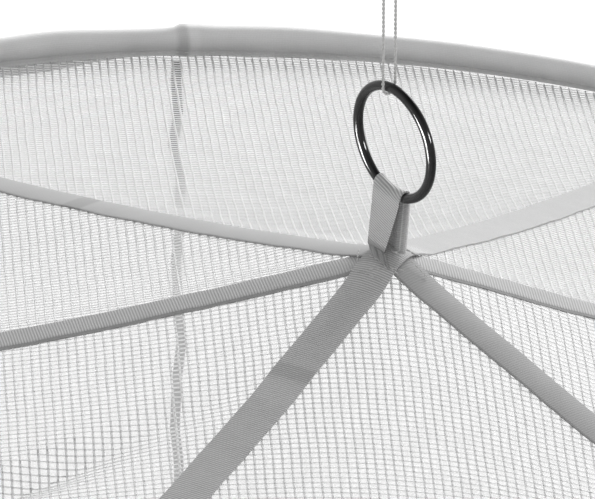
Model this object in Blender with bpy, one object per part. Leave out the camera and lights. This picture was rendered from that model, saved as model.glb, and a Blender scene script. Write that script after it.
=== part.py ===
"""Mosquito net canopy: a net roof and wall on a hoop, carried by three crossed tapes, a ring and a cord.

The origin is the inside top of the cord's eye, where the ceiling hook holds it. +Z is up and the
axis of the crown is the Z axis. Headings turn from +X towards +Y.
"""

import math

import bmesh
import bpy
from mathutils import Vector

MM = 0.001
UP = Vector((0, 0, 1))

# What the pieces share: a layer is a tape with the gap below it
GAP = 0.3 * MM
SHEET = 1.0 * MM
TAPE_GAP = 0.45 * MM
LAYER = SHEET + TAPE_GAP
SHARP_ANGLE = math.radians(50)

# The crown, whose top is where the loop is sewn on
CROWN_Z = -120 * MM
CROWN_RISE = 1.3 * MM
CROWN_ROUNDING = 4 * MM
STACK_FLAT = 18 * MM
STACK_END = 36 * MM

# The hoop hangs out of level: it drops by a share of the way along +X and along +Y
HOOP_RADIUS = 280 * MM
HOOP_WIRE = 5.5 * MM
HOOP_DROP = 52.5 * MM
HOOP_SLOPE_X = -0.096
HOOP_SLOPE_Y = -0.099
HOOP_SIDES = 8

# The casing is a tape folded round the hoop, its two flaps down
CASING_SHEET = 1.0 * MM
CASING_FLAP = 6.6 * MM
CASING_MOUTH = 1.8 * MM
CASING_ARC_STEPS = 8

# The roof is sewn to the casing's inner flap. It sags along its tapes, and more between them
ROOF_SEAT = 5.7 * MM
TAPE_SHORT = 1.2 * MM
TAPE_SAG = 6.5 * MM
PANEL_SAG = 4.0 * MM
TAPE_HEADINGS = (6.5, 64.1, 138.9, 192.2, 243.2, 314.5)
PANEL_COLUMNS = 12
ROOF_ROWS = (4, 9, 16, 26, 44, 72, 104, 138, 172, 208, 244)

# The creases of the near left panel: where each runs, how far it lifts the net and how wide it is
CREASES = (
    # start x, start y, end x, end y, lift, half width
    (-128 * MM, -121 * MM, -70 * MM, -81.5 * MM, -5.0 * MM, 10 * MM),
    (-134 * MM, -101 * MM, -92 * MM, -72 * MM, 1.4 * MM, 10 * MM),
)

TAPES = (
    # name, the two headings that it joins, tapes below it at the crown, width
    ("roof_tape_under", 6.5, 192.2, 0, 11.5 * MM),
    ("roof_tape_middle", 138.9, 314.5, 1, 11.5 * MM),
    ("roof_tape_over", 64.1, 243.2, 2, 13 * MM),
)
TAPE_COLUMNS = 4
TAPE_STATIONS = (3.5, 7, 10.5, 14, 18, 22.5, 27, 31.5, 36, 48, 66, 90, 120, 152, 184, 216, 246)

# The wall hangs from the casing's mouth, flares, and falls into folds that grow towards the hem
WALL_SHEET = 1.2 * MM
WALL_LENGTH = 2000 * MM
WALL_TOP = 3.4 * MM
WALL_STRAIGHT = 10 * MM
WALL_FLARE = 130 * MM
WALL_ROWS = (0, 7, 50, 130, 260, 430, 640, 880, 1130, 1380, 1620, 1840, 2000)
FOLD_GROWTH = 1.35
FLARE_GROWTH = 1.5
WALL_FOLDS = (
    # heading in degrees, half width in degrees, how far it stands out at the hem
    (8, 16, 64 * MM),
    (36, 14, 50 * MM),
    (63, 16, 70 * MM),
    (92, 14, 46 * MM),
    (121, 16, 60 * MM),
    (150, 15, 66 * MM),
    (178, 14, 48 * MM),
    (206, 16, 68 * MM),
    (235, 15, 56 * MM),
    (264, 15, 64 * MM),
    (292, 14, 46 * MM),
    (319, 15, 60 * MM),
    (344, 13, 42 * MM),
)
SEAM_PANEL = 1
SEAM_COLUMN = 6
SEAM_SHARE = 0.62
SEAM_WIDTH = 3.2 * MM

# The ring stands in a vertical plane, a little to one side of the axis of the crown
RING_OUTER = 40 * MM
RING_WIRE = 3.2 * MM
RING_HEADING = math.radians(-52)
RING_ASIDE = 2.9 * MM
RING_RISE = 39.7 * MM
RING_STEPS = 44
RING_SIDES = 10

# The loop over the ring: its legs stand apart on the crown
LOOP_WIDTH = 13 * MM
LOOP_FOOT = 5.3 * MM
LOOP_COLUMNS = 4
LOOP_FLOOR_STEPS = 3
LOOP_ARC_STEPS = 8
LOOP_LEG_STEPS = 4

# The cord: its two strands draw together below the knot, and the eye stands above it
CORD = 1.0 * MM
CORD_STEP = 2.4 * MM
CORD_ARC_STEPS = 8
STRANDS_APART = 2.4 * MM
STRANDS_SPREAD = 9 * MM
KNOT_WIDE = 6.4 * MM
KNOT_HIGH = 7.0 * MM
KNOT_Z = -18.5 * MM
KNOT_SEGMENTS = 16
KNOT_RINGS = 10
KNOT_RIBS = 3
KNOT_RIB_DEPTH = 0.10
EYE_WIDE = 8 * MM
EYE_STEPS = 24
EYE_SIDES = 8


def on_heading(heading, radius, z=0.0):
    return Vector((radius * math.cos(heading), radius * math.sin(heading), z))


def smooth_step(value, low, high):
    share = min(1.0, max(0.0, (value - low) / (high - low)))
    return share * share * (3 - 2 * share)


# The frame's own shapes


def hoop_height(x, y):
    """The height of the hoop's centreline over a place."""
    return CROWN_Z - HOOP_DROP + HOOP_SLOPE_X * x + HOOP_SLOPE_Y * y


def around():
    """The headings of all columns: each panel between two tapes takes the same number."""
    found = []
    ends = TAPE_HEADINGS[1:] + (TAPE_HEADINGS[0] + 360,)
    for start, end in zip(TAPE_HEADINGS, ends):
        turn = (end - start) / PANEL_COLUMNS
        found += [math.radians(start + turn * k) for k in range(PANEL_COLUMNS)]
    return found


def share_of_panel(heading):
    """How far a heading is through its panel, from 0 at one tape to 1 at the next."""
    degrees = math.degrees(heading) % 360
    if degrees < TAPE_HEADINGS[0]:
        degrees += 360
    edges = TAPE_HEADINGS + (TAPE_HEADINGS[0] + 360,)
    low = max(edge for edge in edges if edge <= degrees + 1e-6)
    if low == edges[-1]:
        return 0.0
    high = edges[edges.index(low) + 1]
    return (degrees - low) / (high - low)


def crease_lift(x, y):
    """How far the creases lift the net at a place. They die out towards the tapes."""
    share = share_of_panel(math.atan2(y, x))
    fade = 4 * share * (1 - share)
    lift = 0.0
    for x0, y0, x1, y1, height, half_width in CREASES:
        place = Vector((x - x0, y - y0))
        along = Vector((x1 - x0, y1 - y0))
        run = place.dot(along) / along.length_squared
        beyond = max(0.0, -run, run - 1) * along.length
        away = (place - along * run).length
        lift += height * math.exp(-((away / half_width) ** 2) - (beyond / (2 * half_width)) ** 2)
    return lift * fade


def net_top(x, y):
    """The height of the roof net's upper face."""
    radius = math.hypot(x, y)
    heading = math.atan2(y, x)
    rounded = math.hypot(radius, CROWN_ROUNDING) - CROWN_ROUNDING
    whole = math.hypot(HOOP_RADIUS, CROWN_ROUNDING) - CROWN_ROUNDING
    share = rounded / whole
    rim = on_heading(heading, HOOP_RADIUS)
    drop = CROWN_Z - CROWN_RISE - LAYER - hoop_height(rim.x, rim.y) + ROOF_SEAT
    bow = 4 * share * (1 - share)
    between = PANEL_SAG * math.sin(math.pi * share_of_panel(heading))
    top = CROWN_Z - CROWN_RISE - LAYER - drop * share - (TAPE_SAG + between) * bow
    return top + crease_lift(x, y)


def roof_reach():
    """How far from the axis the roof goes, up to the casing's inner flap."""
    return HOOP_RADIUS - CASING_MOUTH / 2 - CASING_SHEET - GAP


def loop_floor():
    """The height of the loop's underside, on the uppermost tape."""
    return net_top(0, 0) + 3 * LAYER + GAP


# Mesh building


def material(name, colour, roughness, metallic=0.0):
    made = bpy.data.materials.new(name)
    made.use_nodes = True
    shader = made.node_tree.nodes["Principled BSDF"]
    shader.inputs["Base Color"].default_value = (*colour, 1)
    shader.inputs["Roughness"].default_value = roughness
    shader.inputs["Metallic"].default_value = metallic
    return made


def add_object(name, data, finish):
    data.materials.append(finish)
    made = bpy.data.objects.new(name, data)
    bpy.context.scene.collection.objects.link(made)
    return made


def add_mesh(name, mesh, finish, smooth=True):
    """A bmesh as a named object, with its faces pointing out."""
    bmesh.ops.recalc_face_normals(mesh, faces=mesh.faces)
    data = bpy.data.meshes.new(name)
    mesh.to_mesh(data)
    mesh.free()
    if smooth:
        data.shade_smooth()
        data.set_sharp_from_angle(angle=SHARP_ANGLE)
    return add_object(name, data, finish)


def bridge(mesh, rows, wrap_rows, wrap_columns):
    """Quads over a grid of vertices."""
    row_count, column_count = len(rows), len(rows[0])
    for i in range(row_count if wrap_rows else row_count - 1):
        for j in range(column_count if wrap_columns else column_count - 1):
            near, far = rows[i], rows[(i + 1) % row_count]
            k = (j + 1) % column_count
            mesh.faces.new((near[j], near[k], far[k], far[j]))


def close_edge(mesh, upper, lower, wrap):
    """Quads between the two edges of a sheet."""
    count = len(upper)
    for j in range(count if wrap else count - 1):
        k = (j + 1) % count
        mesh.faces.new((upper[j], upper[k], lower[k], lower[j]))


def sheet(name, upper, lower, finish, wrap_rows=False, wrap_columns=False):
    """A closed sheet between two like grids of points."""
    mesh = bmesh.new()
    top = [[mesh.verts.new(p) for p in row] for row in upper]
    under = [[mesh.verts.new(p) for p in row] for row in lower]
    bridge(mesh, top, wrap_rows, wrap_columns)
    bridge(mesh, under, wrap_rows, wrap_columns)
    if not wrap_rows:
        close_edge(mesh, top[0], under[0], wrap_columns)
        close_edge(mesh, top[-1], under[-1], wrap_columns)
    if not wrap_columns:
        close_edge(mesh, [row[0] for row in top], [row[0] for row in under], wrap_rows)
        close_edge(mesh, [row[-1] for row in top], [row[-1] for row in under], wrap_rows)
    return add_mesh(name, mesh, finish)


def tube_around(name, section, headings, finish):
    """A closed section, in distances out from and above the hoop's centreline, carried round it."""
    mesh = bmesh.new()
    rows = []
    for heading in headings:
        centre = on_heading(heading, HOOP_RADIUS)
        z = hoop_height(centre.x, centre.y)
        points = [on_heading(heading, HOOP_RADIUS + out, z + up) for out, up in section]
        rows.append([mesh.verts.new(point) for point in points])
    bridge(mesh, rows, True, True)
    return add_mesh(name, mesh, finish)


# The sub-parts


def make_hoop(finish):
    turn = 2 * math.pi / HOOP_SIDES
    radius = HOOP_WIRE / 2
    section = [(radius * math.cos(turn * k), radius * math.sin(turn * k)) for k in range(HOOP_SIDES)]
    return tube_around("hoop", section, around(), finish)


def casing_side(radius, half_mouth):
    """One face of the folded casing, from one flap's edge over the hoop to the other's."""
    low = math.asin(half_mouth / radius)
    step = 2 * (math.pi - low) / CASING_ARC_STEPS
    arc = [-math.pi / 2 - low - step * k for k in range(CASING_ARC_STEPS + 1)]
    reach = radius / math.cos(step / 2)
    points = [(reach * math.cos(a), reach * math.sin(a)) for a in arc]
    return [(-half_mouth, -CASING_FLAP)] + points + [(half_mouth, -CASING_FLAP)]


def make_casing(finish):
    inner = HOOP_WIRE / 2 + GAP
    half_mouth = CASING_MOUTH / 2
    inside = casing_side(inner, half_mouth)
    outside = casing_side(inner + CASING_SHEET, half_mouth + CASING_SHEET)
    return tube_around("hoop_casing", outside + inside[::-1], around(), finish)


def make_roof(finish):
    """The round of net, from the crown to the casing."""
    mesh = bmesh.new()
    layers = []
    for depth in (0, SHEET):
        rows = []
        for radius in [row * MM for row in ROOF_ROWS] + [roof_reach()]:
            points = [on_heading(heading, radius) for heading in around()]
            rows.append([mesh.verts.new((p.x, p.y, net_top(p.x, p.y) - depth)) for p in points])
        bridge(mesh, rows, False, True)
        apex = mesh.verts.new((0, 0, net_top(0, 0) - depth))
        for j, vertex in enumerate(rows[0]):
            mesh.faces.new((apex, vertex, rows[0][(j + 1) % len(rows[0])]))
        layers.append(rows)
    close_edge(mesh, layers[0][-1], layers[1][-1], True)
    return add_mesh("roof_net", mesh, finish)


def make_tape(name, first, second, layers, width, finish):
    """A tape from rim to rim. It lies on the net, and over the tapes below it at the crown."""
    stations = [s * MM for s in TAPE_STATIONS] + [roof_reach() - TAPE_SHORT]
    line = [on_heading(math.radians(first), s) for s in reversed(stations)] + [Vector((0, 0, 0))]
    line += [on_heading(math.radians(second), s) for s in stations]
    upper, lower = [], []
    for i, centre in enumerate(line):
        ahead = line[min(i + 1, len(line) - 1)] - line[max(i - 1, 0)]
        across = ahead.normalized().cross(UP)
        top_row, under_row = [], []
        for k in range(TAPE_COLUMNS + 1):
            place = centre + across * (width * (k / TAPE_COLUMNS - 0.5))
            stack = layers * LAYER * (1 - smooth_step(place.length, STACK_FLAT, STACK_END))
            under = net_top(place.x, place.y) + TAPE_GAP + stack
            top_row.append(Vector((place.x, place.y, under + SHEET)))
            under_row.append(Vector((place.x, place.y, under)))
        upper.append(top_row)
        lower.append(under_row)
    return sheet(name, upper, lower, finish)


def wall_point(column, down):
    """A point on the wall's middle surface, at a heading and a distance down from its top edge."""
    share = max(0.0, down - WALL_STRAIGHT) / (WALL_LENGTH - WALL_STRAIGHT)
    folds = 0.0
    for heading, half_width, depth in WALL_FOLDS:
        away = abs((math.degrees(column) - heading + 180) % 360 - 180)
        if away < half_width:
            folds += depth * (0.5 + 0.5 * math.cos(math.pi * away / half_width))
    radius = HOOP_RADIUS + WALL_FLARE * share**FLARE_GROWTH + folds * share**FOLD_GROWTH
    rim = on_heading(column, HOOP_RADIUS)
    return on_heading(column, radius, hoop_height(rim.x, rim.y) - WALL_TOP - down)


def wall_grid():
    """The wall's middle surface and its outward normals, a row for each distance down."""
    headings = around()
    grid = [[wall_point(heading, down * MM) for heading in headings] for down in WALL_ROWS]
    normals = []
    count = len(headings)
    for i, row in enumerate(grid):
        above = grid[max(i - 1, 0)]
        below = grid[min(i + 1, len(grid) - 1)]
        level = [row[(j + 1) % count] - row[j - 1] for j in range(count)]
        normals.append([level[j].cross(above[j] - below[j]).normalized() for j in range(count)])
    for j, normal in enumerate(normals[0]):
        normals[0][j] = Vector((normal.x, normal.y, 0)).normalized()
        normals[1][j] = normals[0][j]
    return grid, normals


def offset(grid, normals, distance):
    return [[p + n * distance for p, n in zip(points, out)] for points, out in zip(grid, normals)]


def make_wall(finish):
    grid, normals = wall_grid()
    outer = offset(grid, normals, WALL_SHEET / 2)
    inner = offset(grid, normals, -WALL_SHEET / 2)
    return sheet("wall_net", outer, inner, finish, wrap_columns=True)


def make_seam(finish):
    """The binding down the inside of the wall's seam, on one column of its faces."""
    grid, normals = wall_grid()
    inner = offset(grid, normals, -WALL_SHEET / 2)
    column = SEAM_PANEL * PANEL_COLUMNS + SEAM_COLUMN
    upper, lower = [], []
    for i, row in enumerate(inner[1:]):
        left = row[column]
        right = row[column + 1]
        middle = left.lerp(right, SEAM_SHARE)
        along = (right - left).normalized()
        inward = -(normals[i + 1][column] + normals[i + 1][column + 1]).normalized()
        edges = [middle + along * (SEAM_WIDTH * side) for side in (-0.5, 0.0, 0.5)]
        lower.append([p + inward * TAPE_GAP for p in edges])
        upper.append([p + inward * LAYER for p in edges])
    return sheet("wall_seam_binding", upper, lower, finish)


def wire_section(centre, first, second, diameter, sides):
    """The points of a round wire's section, on two directions square to the wire."""
    turns = [2 * math.pi * k / sides for k in range(sides)]
    return [centre + (first * math.cos(a) + second * math.sin(a)) * (diameter / 2) for a in turns]


def ring_axes():
    """The ring's centre, its heading and the direction square to its plane."""
    along = on_heading(RING_HEADING, 1)
    square = on_heading(RING_HEADING + math.pi / 2, 1)
    return along * RING_ASIDE + UP * (CROWN_Z + RING_RISE), along, square


def make_ring(finish):
    centre, along, square = ring_axes()
    middle = (RING_OUTER - RING_WIRE) / 2
    mesh = bmesh.new()
    rows = []
    for i in range(RING_STEPS):
        turn = 2 * math.pi * i / RING_STEPS
        out = along * math.sin(turn) + UP * math.cos(turn)
        row = wire_section(centre + out * middle, out, square, RING_WIRE, RING_SIDES)
        rows.append([mesh.verts.new(point) for point in row])
    bridge(mesh, rows, True, True)
    return add_mesh("crown_ring", mesh, finish)


def wire_at(side, sign):
    """The height of the ring's wire at a distance along its plane from the axis, and its slope."""
    centre, _, _ = ring_axes()
    middle = (RING_OUTER - RING_WIRE) / 2
    away = side - RING_ASIDE
    rise = math.sqrt(middle**2 - away**2)
    return centre.z + sign * rise, away / rise


def loop_section(side, depth):
    """One closed line of the loop, square to the ring's plane. Depth goes in from its outer face."""
    wire_z, slope = wire_at(side, -1)
    wide = RING_WIRE / 2 + GAP + SHEET - depth
    high = (RING_WIRE / 2) * math.hypot(1, slope) + GAP + SHEET - depth
    floor = loop_floor() + depth
    foot = LOOP_FOOT + SHEET / 2 - depth
    under = [(foot * (2 * k / LOOP_FLOOR_STEPS - 1), floor) for k in range(LOOP_FLOOR_STEPS)]
    shares = [k / LOOP_LEG_STEPS for k in range(LOOP_LEG_STEPS)]
    leg = [(foot + (wide - foot) * share, floor + (wire_z - floor) * share) for share in shares]
    turns = [math.pi * k / LOOP_ARC_STEPS for k in range(LOOP_ARC_STEPS + 1)]
    arc = [(wide * math.cos(a), wire_z + high * math.sin(a)) for a in turns]
    return under + leg + arc + [(-x, z) for x, z in reversed(leg[1:])]


def make_loop(finish):
    _, along, square = ring_axes()
    grids = []
    for depth in (0, SHEET):
        rows = []
        for k in range(LOOP_COLUMNS + 1):
            side = LOOP_WIDTH * (k / LOOP_COLUMNS - 0.5)
            section = loop_section(side, depth)
            rows.append([along * side + square * x + UP * z for x, z in section])
        grids.append(rows)
    return sheet("ring_loop", grids[0], grids[1], finish, wrap_columns=True)


def make_cord(finish):
    """The cord: up one side of the ring to the knot and down the other, round the ring's wire."""
    _, _, square = ring_axes()
    wire_z, _ = wire_at(0, 1)
    apart = RING_WIRE / 2 + GAP + CORD / 2
    top = KNOT_Z - KNOT_HIGH / 2 - GAP - CORD / 2
    steps = round((top - wire_z) / CORD_STEP)
    strand = []
    for k in range(steps + 1):
        z = top + (wire_z - top) * k / steps
        spread = STRANDS_APART / 2 + (apart - STRANDS_APART / 2) * smooth_step(top - z, 0, STRANDS_SPREAD)
        strand.append(square * spread + UP * z)
    turns = [math.pi * k / CORD_ARC_STEPS for k in range(1, CORD_ARC_STEPS)]
    bend = [square * (apart * math.cos(a)) + UP * (wire_z - apart * math.sin(a)) for a in turns]
    other = [Vector((-p.x, -p.y, p.z)) for p in reversed(strand)]
    points = strand + bend + other
    curve = bpy.data.curves.new("hang_cord", "CURVE")
    curve.dimensions = "3D"
    curve.bevel_depth = CORD / 2
    curve.bevel_resolution = 2
    curve.use_fill_caps = True
    spline = curve.splines.new("POLY")
    spline.points.add(len(points) - 1)
    for point, place in zip(spline.points, points):
        point.co = (*place, 1)
    return add_object("hang_cord", curve, finish)


def make_eye(finish):
    """The eye of cord above the knot: a drop-shaped turn that starts and ends inside it."""
    across = on_heading(RING_HEADING, 1)
    _, _, square = ring_axes()
    line = []
    for i in range(EYE_STEPS):
        turn = 2 * math.pi * i / EYE_STEPS
        wide = EYE_WIDE / 2 * math.sin(turn) * math.sin(turn / 2)
        rise = 0.5 - 0.5 * math.cos(turn)
        line.append(square * wide + UP * (KNOT_Z + (CORD / 2 - KNOT_Z) * rise))
    mesh = bmesh.new()
    rows = []
    for i, place in enumerate(line):
        ahead = (line[(i + 1) % EYE_STEPS] - line[i - 1]).normalized()
        row = wire_section(place, across, ahead.cross(across), CORD, EYE_SIDES)
        rows.append([mesh.verts.new(point) for point in row])
    bridge(mesh, rows, True, True)
    eye = add_mesh("knot_eye", mesh, finish)
    eye.hide_render = True
    eye.display_type = "WIRE"
    return eye


def make_knot(finish):
    """The knot, a lump with its turns raised as slanting ribs, in one body with the eye."""
    mesh = bmesh.new()
    bmesh.ops.create_uvsphere(mesh, u_segments=KNOT_SEGMENTS, v_segments=KNOT_RINGS, radius=1)
    for vertex in mesh.verts:
        turn = math.atan2(vertex.co.y, vertex.co.x)
        level = math.hypot(vertex.co.x, vertex.co.y)
        rib = math.cos(turn + KNOT_RIBS * math.pi * vertex.co.z) * KNOT_RIB_DEPTH * level
        x, y, z = vertex.co * (1 + rib)
        vertex.co = (x * KNOT_WIDE / 2, y * KNOT_WIDE / 2, KNOT_Z + z * KNOT_HIGH / 2)
    body = add_mesh("cord_knot", mesh, finish)
    union = body.modifiers.new("join the eye", "BOOLEAN")
    union.operation = "UNION"
    union.solver = "EXACT"
    union.object = make_eye(finish)


def main():
    for old in list(bpy.data.objects):
        bpy.data.objects.remove(old, do_unlink=True)
    netting = material("netting", (0.72, 0.72, 0.72), 0.75)
    webbing = material("ribbed tape", (0.52, 0.52, 0.52), 0.8)
    casing = material("casing tape", (0.5, 0.5, 0.5), 0.8)
    wire = material("hoop wire", (0.7, 0.7, 0.7), 0.4)
    metal = material("dark metal", (0.035, 0.035, 0.038), 0.22, 1.0)
    twine = material("twine", (0.62, 0.62, 0.62), 0.8)
    make_hoop(wire)
    make_casing(casing)
    make_roof(netting)
    for name, first, second, layers, width in TAPES:
        make_tape(name, first, second, layers, width, webbing)
    make_wall(netting)
    make_seam(webbing)
    make_ring(metal)
    make_loop(webbing)
    make_cord(twine)
    make_knot(twine)


main()
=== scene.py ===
"""Mosquito net canopy: the finished net, tapes, casing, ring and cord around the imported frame.

Sizes are in metres, and MM turns millimetres into them. +Z is up, the axis of the crown is the Z
axis, and headings turn from +X towards +Y.
"""

from __future__ import annotations

import logging
import math
from dataclasses import dataclass, field
from enum import Enum
from typing import Any, Callable

import bmesh
import bpy
import numpy as np
from mathutils import Matrix, Vector


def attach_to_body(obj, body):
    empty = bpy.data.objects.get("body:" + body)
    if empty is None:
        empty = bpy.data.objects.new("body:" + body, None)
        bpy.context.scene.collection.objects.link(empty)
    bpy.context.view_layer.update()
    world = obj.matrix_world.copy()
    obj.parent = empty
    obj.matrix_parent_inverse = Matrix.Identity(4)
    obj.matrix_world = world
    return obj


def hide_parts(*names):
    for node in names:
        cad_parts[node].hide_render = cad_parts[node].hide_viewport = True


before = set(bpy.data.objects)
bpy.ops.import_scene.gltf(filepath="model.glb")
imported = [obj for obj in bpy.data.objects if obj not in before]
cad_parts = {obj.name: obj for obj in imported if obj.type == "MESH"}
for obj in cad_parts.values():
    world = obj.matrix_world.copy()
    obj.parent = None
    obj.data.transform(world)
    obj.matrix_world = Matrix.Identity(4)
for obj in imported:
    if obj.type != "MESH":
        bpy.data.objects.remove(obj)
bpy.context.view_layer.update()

MM = 0.001
BODY = "root"
UP = np.array((0.0, 0.0, 1.0))
SHARP_ANGLE = math.radians(50)
BLACK = (0.0, 0.0, 0.0)
# What every woven tape has in common
WOVEN = {"Specular IOR Level": 0.3, "Sheen Weight": 0.15, "Sheen Roughness": 0.5}
# The Mix node's colour sockets go by number, because each kind of value has sockets of the same names
MIX_FIRST, MIX_SECOND, MIX_RESULT = 6, 7, 2
# The pieces that have a lamp of their own
NET_PIECES = ("warp_threads", "cross_threads", "roof_netting")
CROWN_PIECES = (
    "hanging_cord",
    "knot_and_eye",
    "plated_ring",
    "loop_over_ring",
    "tape_under",
    "tape_middle",
    "tape_over",
    "crown_stitches",
    "folded_casing",
    "casing_stitches",
    "seam_tape",
)
LOG = logging.getLogger("canopy")


# Numbers and places


def on_heading(heading: np.ndarray | float, radius: np.ndarray | float = 1.0) -> np.ndarray:
    """Give the level point at a heading in degrees and a distance from the crown's axis."""
    turn = np.radians(heading)
    return np.stack(np.broadcast_arrays(radius * np.cos(turn), radius * np.sin(turn), 0.0), -1)


def smooth_step(value: np.ndarray | float, low: float, high: float) -> np.ndarray:
    """Rise smoothly from 0 at the low value to 1 at the high one."""
    share = np.clip((np.asarray(value) - low) / (high - low), 0.0, 1.0)
    return share * share * (3 - 2 * share)


def bump_at(value: np.ndarray, centre: float, half_width: float) -> np.ndarray:
    """Give a soft bump of height 1 around a value."""
    return np.exp(-(((value - centre) / half_width) ** 2))


def slow_wave(place: np.ndarray, length: float, phase: float = 0.0) -> np.ndarray:
    """Give an uneven wave between about -1 and 1, made of three waves that never line up.

    Args:
        place: distances along the piece.
        length: the length of the longest wave.
        phase: where the waves start, in radians.

    Returns:
        The wave's height at each place.
    """
    turn = 2 * math.pi * place / length
    waves = np.sin(turn + phase) + 0.6 * np.sin(1.73 * turn + 2.1 * phase + 1)
    return (waves + 0.4 * np.sin(3.11 * turn + 0.7 * phase + 2)) / 2


def unit(vectors: np.ndarray) -> np.ndarray:
    """Scale vectors to length 1."""
    length = np.linalg.norm(vectors, axis=-1, keepdims=True)
    return vectors / np.maximum(length, 1e-12)


# Node trees


class Value:
    """A number or vector in a node tree, on which Python's operators add Math nodes."""

    def __init__(self, builder: NodeBuilder, socket: bpy.types.NodeSocket) -> None:
        """Wrap a socket of a builder's tree."""
        self.builder = builder
        self.socket = socket

    def __add__(self, other: Value | float) -> Value:
        """Add a value."""
        return self.builder.maths("ADD", self, other)

    __radd__ = __add__

    def __sub__(self, other: Value | float) -> Value:
        """Take a value away."""
        return self.builder.maths("SUBTRACT", self, other)

    def __rsub__(self, other: Value | float) -> Value:
        """Take this away from a value."""
        return self.builder.maths("SUBTRACT", other, self)

    def __mul__(self, other: Value | float) -> Value:
        """Multiply by a value."""
        return self.builder.maths("MULTIPLY", self, other)

    __rmul__ = __mul__

    def __truediv__(self, other: Value | float) -> Value:
        """Divide by a value."""
        return self.builder.maths("DIVIDE", self, other)

    def __rtruediv__(self, other: Value | float) -> Value:
        """Divide a value by this."""
        return self.builder.maths("DIVIDE", other, self)

    def __abs__(self) -> Value:
        """Drop the sign."""
        return self.builder.maths("ABSOLUTE", self)

    def fraction(self) -> Value:
        """Keep what is past the whole number."""
        return self.builder.maths("FRACT", self)

    def sine(self) -> Value:
        """Give the sine of this many radians."""
        return self.builder.maths("SINE", self)

    def cosine(self) -> Value:
        """Give the cosine of this many radians."""
        return self.builder.maths("COSINE", self)

    def root(self) -> Value:
        """Give the square root."""
        return self.builder.maths("SQRT", self)

    def at_least(self, other: Value | float) -> Value:
        """Give the larger of this and a value."""
        return self.builder.maths("MAXIMUM", self, other)

    def at_most(self, other: Value | float) -> Value:
        """Give the smaller of this and a value."""
        return self.builder.maths("MINIMUM", self, other)

    def rise(self, low: float, high: float) -> Value:
        """Rise smoothly from 0 at the low value to 1 at the high one."""
        settings = {"interpolation_type": "SMOOTHSTEP"}
        inputs = {"Value": self, "From Min": low, "From Max": high}
        return self.builder.value("ShaderNodeMapRange", "Result", settings, inputs)


class NodeBuilder:
    """Adds nodes to one tree."""

    def __init__(self, tree: bpy.types.NodeTree) -> None:
        """Start on a tree."""
        self.tree = tree

    def feed(self, socket: bpy.types.NodeSocket, value: Any) -> None:
        """Link a value to an input, or set the input to a plain number, colour or material."""
        if isinstance(value, Value):
            self.tree.links.new(value.socket, socket)
        else:
            socket.default_value = value

    def node(
        self,
        kind: str,
        settings: dict[str, Any] | None = None,
        inputs: dict[str | int, Any] | None = None,
    ) -> bpy.types.Node:
        """Add a node.

        Args:
            kind: the node's type.
            settings: its own properties, set before its sockets.
            inputs: the values or links of its sockets, by name or number.

        Returns:
            The new node.
        """
        made = self.tree.nodes.new(kind)
        for name, setting in (settings or {}).items():
            setattr(made, name, setting)
        for key, value in (inputs or {}).items():
            self.feed(made.inputs[key], value)
        return made

    def value(
        self,
        kind: str,
        output: str | int,
        settings: dict[str, Any] | None = None,
        inputs: dict[str | int, Any] | None = None,
    ) -> Value:
        """Add a node and give one of its outputs, with node's own arguments."""
        return Value(self, self.node(kind, settings, inputs).outputs[output])

    def maths(self, operation: str, *operands: Value | float) -> Value:
        """Add a Math node on two numbers or fewer."""
        return self.value("ShaderNodeMath", 0, {"operation": operation}, dict(enumerate(operands)))

    def vector(self, operation: str, *operands: Any) -> Value:
        """Add a Vector Math node on two vectors."""
        settings = {"operation": operation}
        return self.value("ShaderNodeVectorMath", "Vector", settings, dict(enumerate(operands)))

    def parts(self, vector: Value) -> tuple[Value, Value, Value]:
        """Split a vector into its three numbers."""
        split = self.node("ShaderNodeSeparateXYZ", None, {"Vector": vector})
        return tuple(Value(self, split.outputs[axis]) for axis in "XYZ")

    def joined(self, x: Value | float, y: Value | float, z: Value | float) -> Value:
        """Make a vector of three numbers."""
        return self.value("ShaderNodeCombineXYZ", "Vector", None, {"X": x, "Y": y, "Z": z})

    def scaled(self, vector: Value, factor: Value | float) -> Value:
        """Make a vector longer or shorter."""
        inputs = {0: vector, "Scale": factor}
        return self.value("ShaderNodeVectorMath", "Vector", {"operation": "SCALE"}, inputs)


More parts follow.
